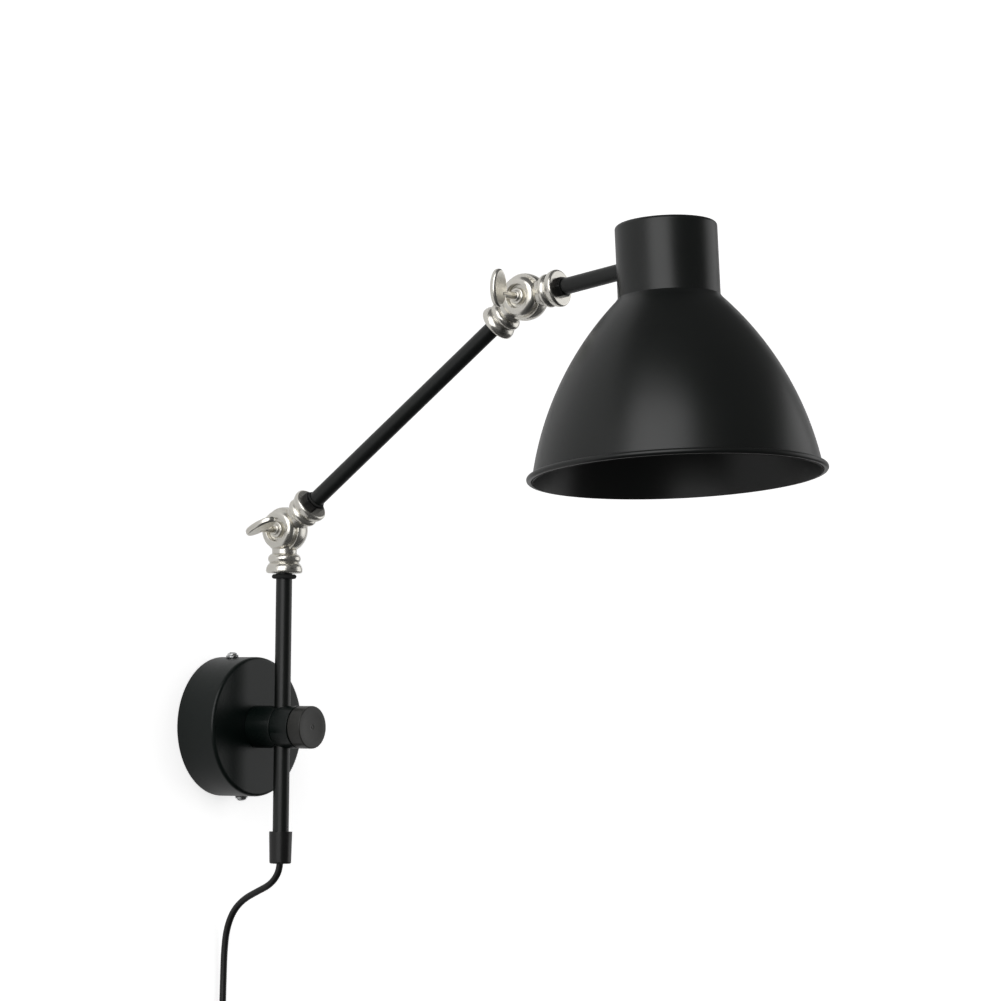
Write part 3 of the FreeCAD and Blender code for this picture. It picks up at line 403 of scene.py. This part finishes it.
class Pattern(Graph):
    """A Geometry Nodes tree with named inputs, grown into a plain mesh."""

    def __init__(self, name: str) -> None:
        """Starts the tree with its geometry in and out."""
        super().__init__(bpy.data.node_groups.new(name, "GeometryNodeTree"))
        self.name = name
        for way in ("INPUT", "OUTPUT"):
            self.tree.interface.new_socket("Geometry", in_out=way, socket_type="NodeSocketGeometry")
        self.inlet = self.add("NodeGroupInput")
        self.values = {}

    def size(self, name: str, value: float | int | tuple) -> bpy.types.NodeSocket:
        """Adds a named input.

        Args:
            name: the input's name.
            value: its value; its type decides the socket's.

        Returns:
            The socket that gives the value inside the tree.
        """
        kind = {int: "NodeSocketInt", float: "NodeSocketFloat"}.get(type(value), "NodeSocketVector")
        item = self.tree.interface.new_socket(name, in_out="INPUT", socket_type=kind)
        self.values[item.identifier] = value
        return self.inlet.outputs[name]

    def vector(self, x: float | bpy.types.NodeSocket, y: float | bpy.types.NodeSocket,
               z: float | bpy.types.NodeSocket) -> bpy.types.NodeSocket:
        """A vector of three numbers or sockets."""
        return self.add("ShaderNodeCombineXYZ", {0: x, 1: y, 2: z}).outputs[0]

    def swept(self, path: bpy.types.NodeSocket, thick: bpy.types.NodeSocket,
              sides: int) -> bpy.types.NodeSocket:
        """A round bar along a path."""
        ring = self.add("GeometryNodeCurvePrimitiveCircle", {"Resolution": sides, "Radius": thick})
        bar = self.add("GeometryNodeCurveToMesh", {0: path, 1: ring.outputs[0], "Fill Caps": True})
        return bar.outputs[0]

    def grow(self, shape: bpy.types.NodeSocket, finish: Finish, place: Matrix,
             source: bpy.types.Object | None = None) -> bpy.types.Object:
        """Ends the tree, runs it once and keeps the result as a mesh.

        Args:
            shape: the tree's last geometry.
            finish: the finish that Set Material gives.
            place: where the result goes.
            source: a piece whose mesh the tree works on.

        Returns:
            The grown object, at the origin.
        """
        real = self.add("GeometryNodeRealizeInstances", {0: shape})
        coloured = self.add("GeometryNodeSetMaterial", {0: real.outputs[0], "Material": finish.material()})
        self.add("NodeGroupOutput", {0: coloured.outputs[0]})
        piece = source or linked(self.name, bpy.data.meshes.new(self.name))
        step = piece.modifiers.new(self.name, "NODES")
        step.node_group = self.tree
        for key, value in self.values.items():
            step[key] = value
        bake(piece)
        piece.data.transform(place)
        finished(piece.data)
        return piece


class SubAssembly:
    """A group of pieces that are dressed together."""

    def dress(self, piece: bpy.types.Object, finish: Finish, body: str, *nodes: str) -> bpy.types.Object:
        """Gives a piece its finish and body.

        Args:
            piece: the object.
            finish: its finish.
            body: the CAD body that it rides on.
            nodes: CAD nodes that it stands for.

        Returns:
            The piece.
        """
        piece.data.materials.clear()
        piece.data.materials.append(finish.material())
        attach(piece, body)
        if nodes:
            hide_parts(*nodes)
        LOG.info("%s: %s on %s", piece.name, finish.name, body)
        return piece

    def skin(self, node: str, finish: Finish, body: str, sharp: float = SHARP) -> bpy.types.Object:
        """Stands a smooth-shaded copy of a CAD node in its place."""
        piece = merged_copy(node, node + "_skin")
        finished(piece.data, sharp)
        return self.dress(piece, finish, body, node)


def mount(name: str) -> dict:
    """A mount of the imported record."""
    return next(m for m in frame["record"]["mounts"] if m["name"] == name)


def joint_point(name: str) -> Vector:
    """Where a joint's axis is."""
    return Vector(next(j for j in frame["joints"] if j["name"] == name)["pos_m"])


# ---- Sub-assemblies


@dataclass
class WallCover(SubAssembly):
    """The round cover, its bracket and side screws."""

    radius: float = 52.0 * MM
    wall: float = 1.2 * MM
    edge: float = 2.6 * MM
    back_edge: float = 0.3 * MM
    hole: float = 5.03 * MM
    turn: float = 7.0  # degrees that the two screws stand turned on the wall
    screw_depth: float = 14.0 * MM
    screw_hole: float = 2.0 * MM
    screw_reach: float = 60.0 * MM  # of the bar that cuts a screw's hole
    screw_head: float = 3.8 * MM  # that each screw stands out
    recess_long: float = 4.6 * MM
    recess_wide: float = 0.9 * MM
    recess_deep: float = 1.5 * MM
    segments: int = 160
    pressed_sharp: float = 12.0  # degrees, over which a bent steel piece's edge shows

    def build(self) -> None:
        """Makes the cover and dresses what it hides."""
        low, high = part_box("rose_cover")
        radius, depth, back = self.radius, high.y - low.y, self.back_edge
        flat, rim = radius - self.edge, depth - self.edge
        outline = [(self.hole, depth - self.wall), (self.hole, depth), (flat - BAND, depth)]
        outline += rounded(flat, rim, self.edge, steps=10)
        outline += [(radius, rim - BAND), (radius, back), (radius - back, 0.0), (radius - self.wall, 0.0)]
        outline += rounded(flat, rim, self.edge - self.wall, steps=6, inwards=True)
        cover = lathe("rose_cover_shell", outline, place_along(Vector(), OUT), self.segments, closed=True)
        for side in (1, -1):
            place = place_along(OUT * self.screw_depth, self._screw_way() * side)
            cut_by(cover, drill(self.screw_hole, self.screw_reach, place, segments=24))
        finished(cover.data)
        self.dress(cover, COVER_COAT, "wall", "rose_cover")
        for node in ("wall_bracket", "bracket_nut", "cover_nut"):
            self.skin(node, ZINC_STEEL, "wall", self.pressed_sharp)
        self.dress(self._crossed_screws(), ZINC_STEEL, "wall", "cover_screws")

    def _screw_way(self) -> Vector:
        """The way that the upper screw's head looks."""
        turn = math.radians(self.turn)
        return Vector((-math.sin(turn), 0, math.cos(turn)))

    def _crossed_screws(self) -> bpy.types.Object:
        """The two side screws with a cross recess in each head."""
        screws = merged_copy("cover_screws", "cover_screws_crossed")
        pattern = Pattern("screw_recess")
        long = pattern.size("Recess Length", self.recess_long)
        wide = pattern.size("Recess Width", self.recess_wide)
        deep = pattern.size("Recess Depth", 2 * self.recess_deep)
        reach = pattern.size("Head Distance", 2 * (self.radius + self.screw_head))
        bars = [pattern.add("GeometryNodeMeshCube", {"Size": pattern.vector(*edges)}).outputs[0]
                for edges in ((long, wide, deep), (wide, long, deep))]
        cross = pattern.add("GeometryNodeMeshBoolean", operation="UNION")
        for bar in bars:
            pattern.tree.links.new(bar, cross.inputs[1])
        half = pattern.math("MULTIPLY", reach, 0.5)
        ends = pattern.add("GeometryNodeMeshLine", {
            "Count": 2, "Start Location": pattern.vector(0.0, 0.0, half),
            "Offset": pattern.vector(0.0, 0.0, pattern.math("MULTIPLY", reach, -1.0))})
        tools = pattern.add("GeometryNodeInstanceOnPoints", {0: ends.outputs[0], 2: cross.outputs[0]})
        turned = pattern.add("GeometryNodeTransform", {
            0: tools.outputs[0], "Translation": (0.0, -self.screw_depth, 0.0),
            "Rotation": (0.0, -math.radians(self.turn), 0.0)})
        real = pattern.add("GeometryNodeRealizeInstances", {0: turned.outputs[0]})
        cut = pattern.add("GeometryNodeMeshBoolean", {0: pattern.inlet.outputs[0]}, operation="DIFFERENCE")
        pattern.tree.links.new(real.outputs[0], cut.inputs[1])
        return pattern.grow(cut.outputs[0], ZINC_STEEL, Matrix(), screws)


@dataclass
class Clamp(SubAssembly):
    """The two jaws, the knob and the spindle between them."""

    segments: int = 128
    radius: float = 15.8 * MM
    edge: float = 0.7 * MM
    back_edge: float = 0.8 * MM
    back_cut: float = 0.24 * MM  # by which the back edge's middle is inside the corner, each way
    rim_edge: float = 0.3 * MM  # a ring at each side of the face's flat rim
    dish: float = 11.5 * MM
    dish_deep: float = 0.35 * MM
    dish_middle: tuple = (0.6, 0.25)  # shares of the dish's radius and depth at a point of its curve
    mark: float = 1.8 * MM
    mark_deep: float = 0.12 * MM
    mark_shares: tuple = (0.85, 0.6, 0.45)  # of the mark's radius, at the corners of its groove
    bore: float = 4.0 * MM
    bore_share: float = 0.75  # of the knob's thickness

    def build(self) -> None:
        """Makes the knob and dresses the jaws."""
        for node in ("rear_jaw", "front_jaw"):
            self.skin(node, COVER_COAT, "wall", MOULDED_SHARP)
        self.skin("clamp_spindle", ZINC_STEEL, "wall")
        self.skin("knob_washer", BLACK_PLASTIC, "wall")
        self.skin("swivel_liner", BLACK_PLASTIC, "liner")
        self._knob()

    def _knob(self) -> None:
        """The round knob with a crisp edge, a shallow dished face and a fine ring at its centre."""
        low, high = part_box("clamp_knob")
        thick, radius, edge = high.y - low.y, self.radius, self.edge
        inner, floor, deep = radius - edge, thick - self.dish_deep, thick * self.bore_share
        back, dish = (radius - self.back_edge, 0), (self.dish + self.rim_edge, thick)
        outline = [(0, deep), (self.bore, deep), (self.bore, 0), back]
        outline += arc(back, (radius - self.back_cut, self.back_cut), (radius, self.back_edge), steps=5)
        outline += [(radius, thick - edge - BAND)]
        outline += rounded(inner, thick - edge, edge, steps=6, inwards=True)
        outline += [(inner - self.rim_edge, thick), dish]
        along, rise = self.dish_middle
        outline += arc(dish, (self.dish * along, floor + self.dish_deep * rise), (self.mark, floor),
                       steps=12)
        outer, middle, centre = (self.mark * share for share in self.mark_shares)
        outline += [(outer, floor - self.mark_deep), (middle, floor - self.mark_deep), (centre, floor),
                    (0, floor)]
        place = place_along(Vector((0, high.y, 0)), OUT)
        knob = lathe("clamp_knob_turned", outline, place, self.segments)
        self.dress(knob, KNOB_FACE, "clamp_knob", "clamp_knob")


@dataclass
class Tubes(SubAssembly):
    """The three 12 mm tubes, their leads, nuts and rings, and the stem's end cap."""

    round_edge: float = 50.0  # degrees, over which an edge of a tube, lead or ring shows
    nut_edge: float = 25.0

    def build(self) -> None:
        """Dresses each tube and what sits on it."""
        for arm, body in (("stem", "stem"), ("long_arm", "long_arm"), ("short_arm", "head")):
            self.skin(f"{arm}_tube", POWDER_COAT, body, self.round_edge)
            self.skin(f"{arm}_lead", CORD_JACKET, body, self.round_edge)
        self.skin("stem_end_cap", BLACK_PLASTIC, "stem")
        self.skin("stem_o_ring", BLACK_RUBBER, "stem", self.round_edge)
        self.skin("long_arm_ring", BLACK_RUBBER, "long_arm", self.round_edge)
        self.skin("upper_shim_ring", BLACK_NUT, "long_arm")
        self.skin("lower_lock_nut", BLACK_NUT, "long_arm", self.nut_edge)
        self.skin("upper_lock_nut", BLACK_NUT, "head", self.nut_edge)
        self.skin("shade_neck_nut", ZINC_STEEL, "head", self.nut_edge)


@dataclass
class Knuckles(SubAssembly):
    """The two nickel-plated knuckles with their washers and wing screws."""

    voxel: float = 0.3 * MM
    wing_share: float = 0.7  # of that size, for the thinner wing screws
    rounds: int = 3
    grown: float = 0.12 * MM

    def build(self) -> None:
        """Dresses both knuckles."""
        self._knuckle("lower", "stem", "long_arm", "lower_wing")
        self._knuckle("upper", "long_arm", "head", "upper_wing")

    def _knuckle(self, name: str, near_body: str, far_body: str, wing_body: str) -> None:
        """Dresses one knuckle's halves, washer and wing screw."""
        near, far = f"{name}_knuckle_near_half", f"{name}_knuckle_far_half"
        self.dress(soft_cast(near, self.voxel, self.rounds, self.grown), SATIN_NICKEL, near_body, near)
        self.dress(soft_cast(far, self.voxel, self.rounds, self.grown), SATIN_NICKEL, far_body, far)
        self.skin(f"{name}_friction_washer", FIBRE, near_body)
        wing = f"{name}_wing_screw"
        screw = soft_cast(wing, self.voxel * self.wing_share, self.rounds, self.grown)
        self.dress(screw, SATIN_NICKEL, wing_body, wing)


@dataclass
class Shade(SubAssembly):
    """The spun shade with its rolled bead."""

    wall: float = 1.0 * MM
    top: float = 24.9 * MM
    top_edge: float = 2.7 * MM
    neck: float = 36.1 * MM
    neck_height: float = 52.6 * MM
    bell_height: float = 126.7 * MM
    mouth: float = 101.8 * MM
    sagitta: float = 11.5 * MM
    top_ring: float = 0.4  # of the neck's radius, for one more ring on the flat top
    neck_band: float = 0.3 * MM
    shoulder_band: float = 1.6 * MM
    shoulder_ease: tuple = (0.18 * MM, 0.4 * MM)  # out and up from the shoulder's corner
    shoulder_inset: float = 0.4  # how far the inner shoulder is lower, as a share of the wall
    bead: float = 2.1 * MM
    bead_out: float = 1.5 * MM
    bead_turn: float = 300.0  # degrees of a circle that the bead's section covers
    bead_steps: int = 24
    sharp: float = 28.0  # degrees, over which an edge shows
    holder_depth: float = 59.015 * MM  # from the shade's origin to the lamp thread's middle
    segments: int = 224
    arm_hole: float = 6.05 * MM
    arm_reach: float = 110.0 * MM  # of the bar that cuts the arm's hole

    def origin(self) -> Vector:
        """Where the short arm's axis meets the shade's axis."""
        thread = mount("lamp_thread")
        return Vector(thread["pos_m"]) - Vector(thread["axis"]).normalized() * self.holder_depth

    def up(self) -> Vector:
        """The shade's axis, upwards."""
        return -Vector(mount("lamp_thread")["axis"]).normalized()

    def build(self) -> None:
        """Makes the shade and opens the hole for the arm."""
        outline = self._skin(0.0) + self._bead() + self._skin(self.wall)[::-1]
        shade = lathe("lamp_shade_spun", outline, place_along(self.origin(), self.up()), self.segments)
        arm = joint_point("head_tilt")
        place = place_along(arm, (self.origin() - arm).normalized())
        cut_by(shade, drill(self.arm_hole, self.arm_reach, place))
        finished(shade.data, self.sharp)
        self.dress(shade, POWDER_COAT, "head", "lamp_shade")

    def _skin(self, inset: float) -> list[tuple]:
        """The shade's section from its top's middle to its mouth, this far inside the outer skin."""
        corner = self.top - self.neck_height
        low = corner - self.bell_height
        neck, top, edge = self.neck - inset, self.top - inset, self.top_edge - inset
        flat, side = neck - edge, top - edge
        chord = Vector((self.mouth - self.neck, low - corner))
        outwards = Vector((-chord.y, chord.x)).normalized()
        middle = Vector((self.neck, corner)) + chord / 2 + outwards * (self.sagitta - inset)
        shoulder = corner - inset * self.shoulder_inset
        out, up = self.shoulder_ease
        points = [(0, top), (neck * self.top_ring, top), (flat - BAND, top)]
        points += rounded(flat, side, edge, steps=8)
        points += [(neck, side - self.neck_band), (neck, top - self.neck_height / 2),
                   (neck, shoulder + self.shoulder_band), (neck + out, shoulder + up)]
        return points + arc((neck, shoulder), tuple(middle), (self.mouth - inset, low), steps=56)

    def _bead(self) -> list[tuple]:
        """The rolled bead's section, from the outer skin round to the inner skin."""
        low = self.top - self.neck_height - self.bell_height
        centre = (self.mouth + self.bead_out, low + self.bead)
        start, step = self.bead_turn / 2, self.bead_turn / self.bead_steps
        turns = [math.radians(start - step * i) for i in range(self.bead_steps + 1)]
        return [(centre[0] + self.bead * math.cos(a), centre[1] + self.bead * math.sin(a)) for a in turns]


@dataclass
class Lampholder(SubAssembly):
    """The hub on the arm's end and the screw lampholder under it."""

    place: Matrix  # from the shade's own frame, its axis up
    thread_radius: float = 13.3 * MM
    thread_top: float = -49.4 * MM
    thread_pitch: float = 3.6 * MM
    thread_turns: float = 5.2
    thread_wire: float = 0.45 * MM
    grip_radius: float = 19.5 * MM
    grip_top: float = -35.0 * MM
    grip_long: float = 30.0 * MM
    grip_ribs: int = 36
    rib_deep: float = 0.9 * MM

    def build(self) -> None:
        """Dresses the hub and holder, winds the lamp thread and stands the grip ribs."""
        for node in ("holder_hub", "holder_nipple"):
            self.skin(node, ZINC_STEEL, "head")
        for node, finish in (("lampholder_cap", BLACK_PLASTIC), ("lampholder_shell", BLACK_PLASTIC),
                             ("lampholder_insert", PORCELAIN), ("lamp_thread_contact", BRASS),
                             ("lamp_centre_contact", BRASS)):
            self.skin(node, finish, "head", MOULDED_SHARP)
        self.dress(self._thread(), BRASS, "head")
        self.dress(self._ribs(), BLACK_PLASTIC, "head")

    def _thread(self) -> bpy.types.Object:
        """The rolled thread's turns inside the contact sleeve."""
        pattern = Pattern("lamp_thread_turns")
        radius, turns = pattern.size("Radius", self.thread_radius), pattern.size("Turns", self.thread_turns)
        pitch = pattern.size("Pitch", self.thread_pitch)
        wire = pattern.size("Wire Radius", self.thread_wire)
        helix = pattern.add("GeometryNodeCurveSpiral", {
            "Resolution": 64, "Rotations": turns, "Start Radius": radius, "End Radius": radius,
            "Height": pattern.math("MULTIPLY", turns, pitch)})
        shape = pattern.swept(helix.outputs[0], wire, sides=10)
        start = self.thread_top - self.thread_turns * self.thread_pitch
        return pattern.grow(shape, BRASS, self.place @ Matrix.Translation(Z * (start + self.thread_wire)))

    def _ribs(self) -> bpy.types.Object:
        """The upright grip ribs round the lampholder's shell."""
        pattern = Pattern("lampholder_grip_ribs")
        count, radius = pattern.size("Count", self.grip_ribs), pattern.size("Radius", self.grip_radius)
        long = pattern.size("Rib Length", self.grip_long)
        thick = pattern.size("Rib Radius", self.rib_deep / 2)
        ring = pattern.add("GeometryNodeMeshCircle", {"Vertices": count, "Radius": radius})
        rise = pattern.add("GeometryNodeCurvePrimitiveLine", {
            "Start": (0.0, 0.0, 0.0), "End": pattern.vector(0.0, 0.0, long)})
        rib = pattern.swept(rise.outputs[0], thick, sides=8)
        ribs = pattern.add("GeometryNodeInstanceOnPoints", {0: ring.outputs[0], 2: rib})
        base = Matrix.Translation(Z * (self.grip_top - self.grip_long))
        return pattern.grow(ribs.outputs[0], BLACK_PLASTIC, self.place @ base)


@dataclass
class SupplyCord(SubAssembly):
    """The cord from the end cap, its tied coil on the wall and its plug.

    Its radius and length are in metres, and its other lengths in millimetres.
    """

    radius: float = 2.5 * MM
    length: float = 1.78
    route: list = field(default_factory=lambda: [
        (0.0, -58.0, -93.5),
        (0.0, -58.0, -102.6),
        (0.0, -54.8, -110.8),
        (0.0, -47.6, -117.6),
        (0.0, -35.8, -122.6),
        (0.0, -22.6, -128.8),
        (0.0, -12.4, -138.2),
        (0.0, -6.4, -152.4),
        (0.3, -4.4, -168.6),
        (0.5, -3.8, -187.0),
        (0.2, -3.7, -206.0),
        (0.0, -3.6, -226.0),
        (0.0, -3.6, -243.0),
    ])
    coil_centre: tuple = (-40.0, -3.6, -258.0)
    coil_radius: float = 40.0
    coil_pitch: float = 5.6
    coil_turns: int = 9
    points_per_turn: int = 16
    tail: float = 34.0
    tail_shares: tuple = (0.33, 0.66, 1.0)  # of the tail, where its points are
    exit: tuple = (0.0, -58.0, -101.2)
    teeth: int = 20
    tooth: tuple = (0.55, 0.5, 5.2)
    tooth_step: float = 1.25
    tooth_deep: float = 0.05  # of a tooth's middle under the tie's face
    relief_ribs: int = 5
    relief_step: float = 2.6
    relief_start: float = 2.4
    relief_top: float = 4.1
    relief_growth: float = 0.075  # of each ring over the one above, as a share of the first
    relief_wire: float = 0.75
    pin_sharp: float = 40.0  # degrees, over which a pin's edge shows

    def build(self) -> None:
        """Makes the cord as one smooth line and dresses its tie and plug."""
        points = [Vector(p) * MM for p in self.route] + self._coil() + self._tail()
        data = bpy.data.curves.new("supply_cord", "CURVE")
        data.dimensions = "3D"
        line = data.splines.new("NURBS")
        line.points.add(len(points) - 1)
        for point, place in zip(line.points, points):
            point.co = (*place, 1.0)
        line.order_u = 3
        line.use_endpoint_u = True
        line.resolution_u = 6
        data.bevel_depth = self.radius
        data.bevel_resolution = 5
        data.use_fill_caps = True
        cord = linked("supply_cord", data)
        self.dress(cord, CORD_JACKET, "stem", "supply_cord_drop", "supply_cord_coil", "supply_cord_tail")
        tie = self.skin("coil_tie", BLACK_PLASTIC, "stem")
        teeth = self.dress(self._tie_teeth(), BLACK_PLASTIC, "stem")
        ribs = self.dress(self._relief_ribs(), BLACK_PLASTIC, "stem")
        plug = self.skin("mains_plug", BLACK_PLASTIC, "stem", MOULDED_SHARP)
        pins = self.skin("plug_pins", SATIN_NICKEL, "stem", self.pin_sharp)

    def _tie_teeth(self) -> bpy.types.Object:
        """The fine teeth across the tie's face."""
        low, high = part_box("coil_tie")
        pattern = Pattern("tie_teeth")
        count, step = pattern.size("Count", self.teeth), pattern.size("Spacing", self.tooth_step * MM)
        tooth = pattern.size("Tooth", tuple(edge * MM for edge in self.tooth))
        line = pattern.add("GeometryNodeMeshLine", {
            "Count": count, "Offset": pattern.vector(step, 0.0, 0.0)})
        bar = pattern.add("GeometryNodeMeshCube", {"Size": tooth})
        teeth = pattern.add("GeometryNodeInstanceOnPoints", {0: line.outputs[0], 2: bar.outputs[0]})
        start = (low.x + high.x) / 2 - (self.teeth - 1) / 2 * self.tooth_step * MM
        place = Matrix.Translation(Vector((start, low.y + self.tooth_deep * MM, (low.z + high.z) / 2)))
        return pattern.grow(teeth.outputs[0], BLACK_PLASTIC, place)

    def _relief_ribs(self) -> bpy.types.Object:
        """The rings round the plug's tapered strain relief, each a little wider than the last."""
        low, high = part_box("mains_plug")
        pattern = Pattern("strain_relief_ribs")
        count = pattern.size("Count", self.relief_ribs)
        step = pattern.size("Spacing", self.relief_step * MM)
        top = pattern.size("Top Radius", self.relief_top * MM)
        growth = pattern.size("Growth", self.relief_growth)
        thick = pattern.size("Rib Radius", self.relief_wire * MM)
        circle = pattern.add("GeometryNodeCurvePrimitiveCircle", {"Resolution": 40, "Radius": top})
        ring = pattern.swept(circle.outputs[0], thick, sides=8)
        line = pattern.add("GeometryNodeMeshLine", {
            "Count": count, "Offset": pattern.vector(0.0, 0.0, pattern.math("MULTIPLY", step, -1.0))})
        index = pattern.add("GeometryNodeInputIndex").outputs[0]
        wider = pattern.math("ADD", 1.0, pattern.math("MULTIPLY", index, growth))
        rings = pattern.add("GeometryNodeInstanceOnPoints", {
            0: line.outputs[0], 2: ring, "Scale": pattern.vector(wider, wider, 1.0)})
        middle = (low + high) / 2
        place = Matrix.Translation(Vector((middle.x, middle.y, high.z - self.relief_start * MM)))
        return pattern.grow(rings.outputs[0], BLACK_PLASTIC, place)

    def _coil_point(self, angle: float) -> Vector:
        """A point of the coil's centre line at this angle from its start."""
        slope = self.coil_pitch / FULL_TURN
        climb = (self.coil_turns - 0.5) / 2 * FULL_TURN
        inner = self.coil_radius - slope * climb
        past = angle - climb
        if past <= 0:
            radius, height = self.coil_radius - slope * angle, 0.0
        elif past < math.pi:
            radius = inner - slope * past * (1 - past / math.pi)
            height = self.coil_pitch * (1 - math.cos(past)) / 2
        else:
            radius, height = inner + slope * (past - math.pi), self.coil_pitch
        offset = Vector((radius * math.cos(angle), -height, -radius * math.sin(angle)))
        return (Vector(self.coil_centre) + offset) * MM

    def _coil(self) -> list[Vector]:
        """The coil's points, as control points that lie just outside its turns."""
        count = self.coil_turns * self.points_per_turn
        step = FULL_TURN / self.points_per_turn
        centre = Vector(self.coil_centre) * MM
        wider = 1 / (0.75 + 0.25 * math.cos(step))  # a quadratic spline runs inside its control points
        points = []
        for i in range(count + 1):
            offset = self._coil_point(i * step) - centre
            points.append(centre + Vector((offset.x * wider, offset.y, offset.z * wider)))
        return points

    def _tail(self) -> list[Vector]:
        """The straight end into the plug's relief."""
        last = self._coil_point(self.coil_turns * FULL_TURN)
        return [last - Z * self.tail * share * MM for share in self.tail_shares]


@dataclass
class Studio:
    """The wall behind the lamp, the light and the camera."""

    camera_place: tuple = (-2.57411, -2.20314, 0.0026)
    camera_turn: float = 52.93  # of the line of sight from +Y towards +X
    camera_rise: float = 2.868
    camera_roll: float = 0.647
    focal_pixels: float = 4500.0
    frame_height: float = 1001.0
    sensor: float = 36.0
    clip_end: float = 30.0
    wall_half: float = 3.0
    wall_low: float = -0.45
    wall_high: float = 0.95
    wall_gap: float = 0.0006  # between the wall and the lamp's back
    wall_paint: float = 0.86
    wall_glow: float = 0.70
    wall_in_metal: float = 0.28
    room_heights: tuple = (-0.8, 0.8)  # between which the room's grey changes
    room_greys: tuple = (0.06, 0.12)
    aim: tuple = (0.0, -0.25, 0.1)  # the lamp's middle

    def build(self) -> None:
        """Sets up everything that isn't the lamp."""
        self._camera()
        self._wall()
        self._world()
        self._lamps()
        bpy.context.scene.view_settings.view_transform = "Standard"

    def _camera(self) -> None:
        """The camera at the photograph's place."""
        data = bpy.data.cameras.new("camera")
        data.sensor_width = self.sensor
        data.lens = self.focal_pixels / self.frame_height * self.sensor
        data.clip_end = self.clip_end
        camera = linked("camera", data)
        turn, rise, roll = (math.radians(a) for a in (self.camera_turn, self.camera_rise, self.camera_roll))
        sight = Vector((math.sin(turn) * math.cos(rise), math.cos(turn) * math.cos(rise), math.sin(rise)))
        level = sight.to_track_quat("-Z", "Y").to_matrix().to_4x4()
        camera.matrix_world = Matrix.Translation(self.camera_place) @ level @ Matrix.Rotation(roll, 4, "Z")
        bpy.context.scene.camera = camera

    def _wall(self) -> None:
        """A white wall that shows as the photograph's background, and is clear when seen from behind."""
        half, gap, low, high = self.wall_half, self.wall_gap, self.wall_low, self.wall_high
        mesh = bpy.data.meshes.new("studio_wall")
        corners = [(-half, gap, low), (half, gap, low), (half, gap, high), (-half, gap, high)]
        mesh.from_pydata(corners, [], [(0, 1, 2, 3)])
        wall = linked("studio_wall", mesh)
        material = bpy.data.materials.new("studio_white")
        material.use_nodes = True
        graph = Graph(material.node_tree)
        path = graph.add("ShaderNodeLightPath").outputs
        seen = graph.math("MAXIMUM", path["Is Camera Ray"], path["Is Transmission Ray"])
        shown = graph.math("MULTIPLY", path["Is Glossy Ray"], self.wall_in_metal)
        glow = graph.math("MULTIPLY", graph.math("MAXIMUM", seen, shown), self.wall_glow)
        paint = graph.add("ShaderNodeBsdfDiffuse", {"Color": (*(self.wall_paint,) * 3, 1.0)})
        light = graph.add("ShaderNodeEmission", {"Strength": glow})
        front = graph.add("ShaderNodeAddShader", {0: paint.outputs[0], 1: light.outputs[0]})
        behind = graph.add("ShaderNodeNewGeometry").outputs["Backfacing"]
        clear = graph.add("ShaderNodeBsdfTransparent")
        mix = graph.add("ShaderNodeMixShader", {0: behind, 1: front.outputs[0], 2: clear.outputs[0]})
        graph.add("ShaderNodeOutputMaterial", {"Surface": mix.outputs[0]})
        material.cycles.emission_sampling = "NONE"
        mesh.materials.append(material)

    def _world(self) -> None:
        """White where it is seen, and a studio's grey where it lights."""
        world = bpy.data.worlds.new("studio")
        bpy.context.scene.world = world
        world.use_nodes = True
        graph = Graph(world.node_tree)
        path = graph.add("ShaderNodeLightPath")
        way = graph.add("ShaderNodeTexCoord").outputs["Generated"]
        height = graph.add("ShaderNodeSeparateXYZ", {0: way}).outputs["Z"]
        low, high = self.room_heights
        share = graph.add("ShaderNodeMapRange", {"Value": height, "From Min": low, "From Max": high})
        greys = graph.blend(share.outputs[0], *((grey,) * 3 for grey in self.room_greys))
        room = graph.add("ShaderNodeBackground", {"Color": greys})
        white = graph.add("ShaderNodeBackground", {"Color": (1, 1, 1, 1), "Strength": 1.0})
        mix = graph.add("ShaderNodeMixShader", {0: path.outputs["Is Camera Ray"], 1: room.outputs[0],
                                                2: white.outputs[0]})
        graph.add("ShaderNodeOutputWorld", {"Surface": mix.outputs[0]})

    def _lamps(self) -> None:
        """A large soft box at the camera's left, a narrower one at its right and a plain fill."""
        self._area("key_box", (-3.80, -1.54, 1.95), (3.8, 5.1), 2.15)
        self._area("side_box", (2.57, -1.54, 0.35), (2.2, 2.4), 0.92)
        self._area("fill", (0.9, -3.0, 0.9), (2.6, 2.2), 1.0, shown=False)

    def _area(self, name: str, place: tuple, size: tuple, level: float, shown: bool = True) -> None:
        """One rectangular light aimed at the lamp's middle.

        Args:
            name: the light's name.
            place: where it stands.
            size: its width and height.
            level: how bright its face is, where 1 is white.
            shown: whether shiny pieces mirror it.
        """
        data = bpy.data.lights.new(name, "AREA")
        data.shape, data.size, data.size_y = "RECTANGLE", *size
        data.energy = level * math.pi * size[0] * size[1]
        lamp = linked(name, data)
        lamp.visible_camera = False
        lamp.visible_glossy = shown
        aim = Vector(self.aim) - Vector(place)
        lamp.matrix_world = Matrix.Translation(place) @ aim.to_track_quat("-Z", "Y").to_matrix().to_4x4()


def main() -> None:
    """Builds the studio and every sub-assembly."""
    logging.basicConfig(level=logging.INFO, format="%(name)s: %(message)s")
    shade = Shade()
    holder = Lampholder(place_along(shade.origin(), shade.up()))
    for maker in (Studio(), SupplyCord(), WallCover(), Clamp(), Tubes(), Knuckles(), shade, holder):
        maker.build()
        LOG.info("%s is done", type(maker).__name__)


if __name__ == "__main__":
    main()
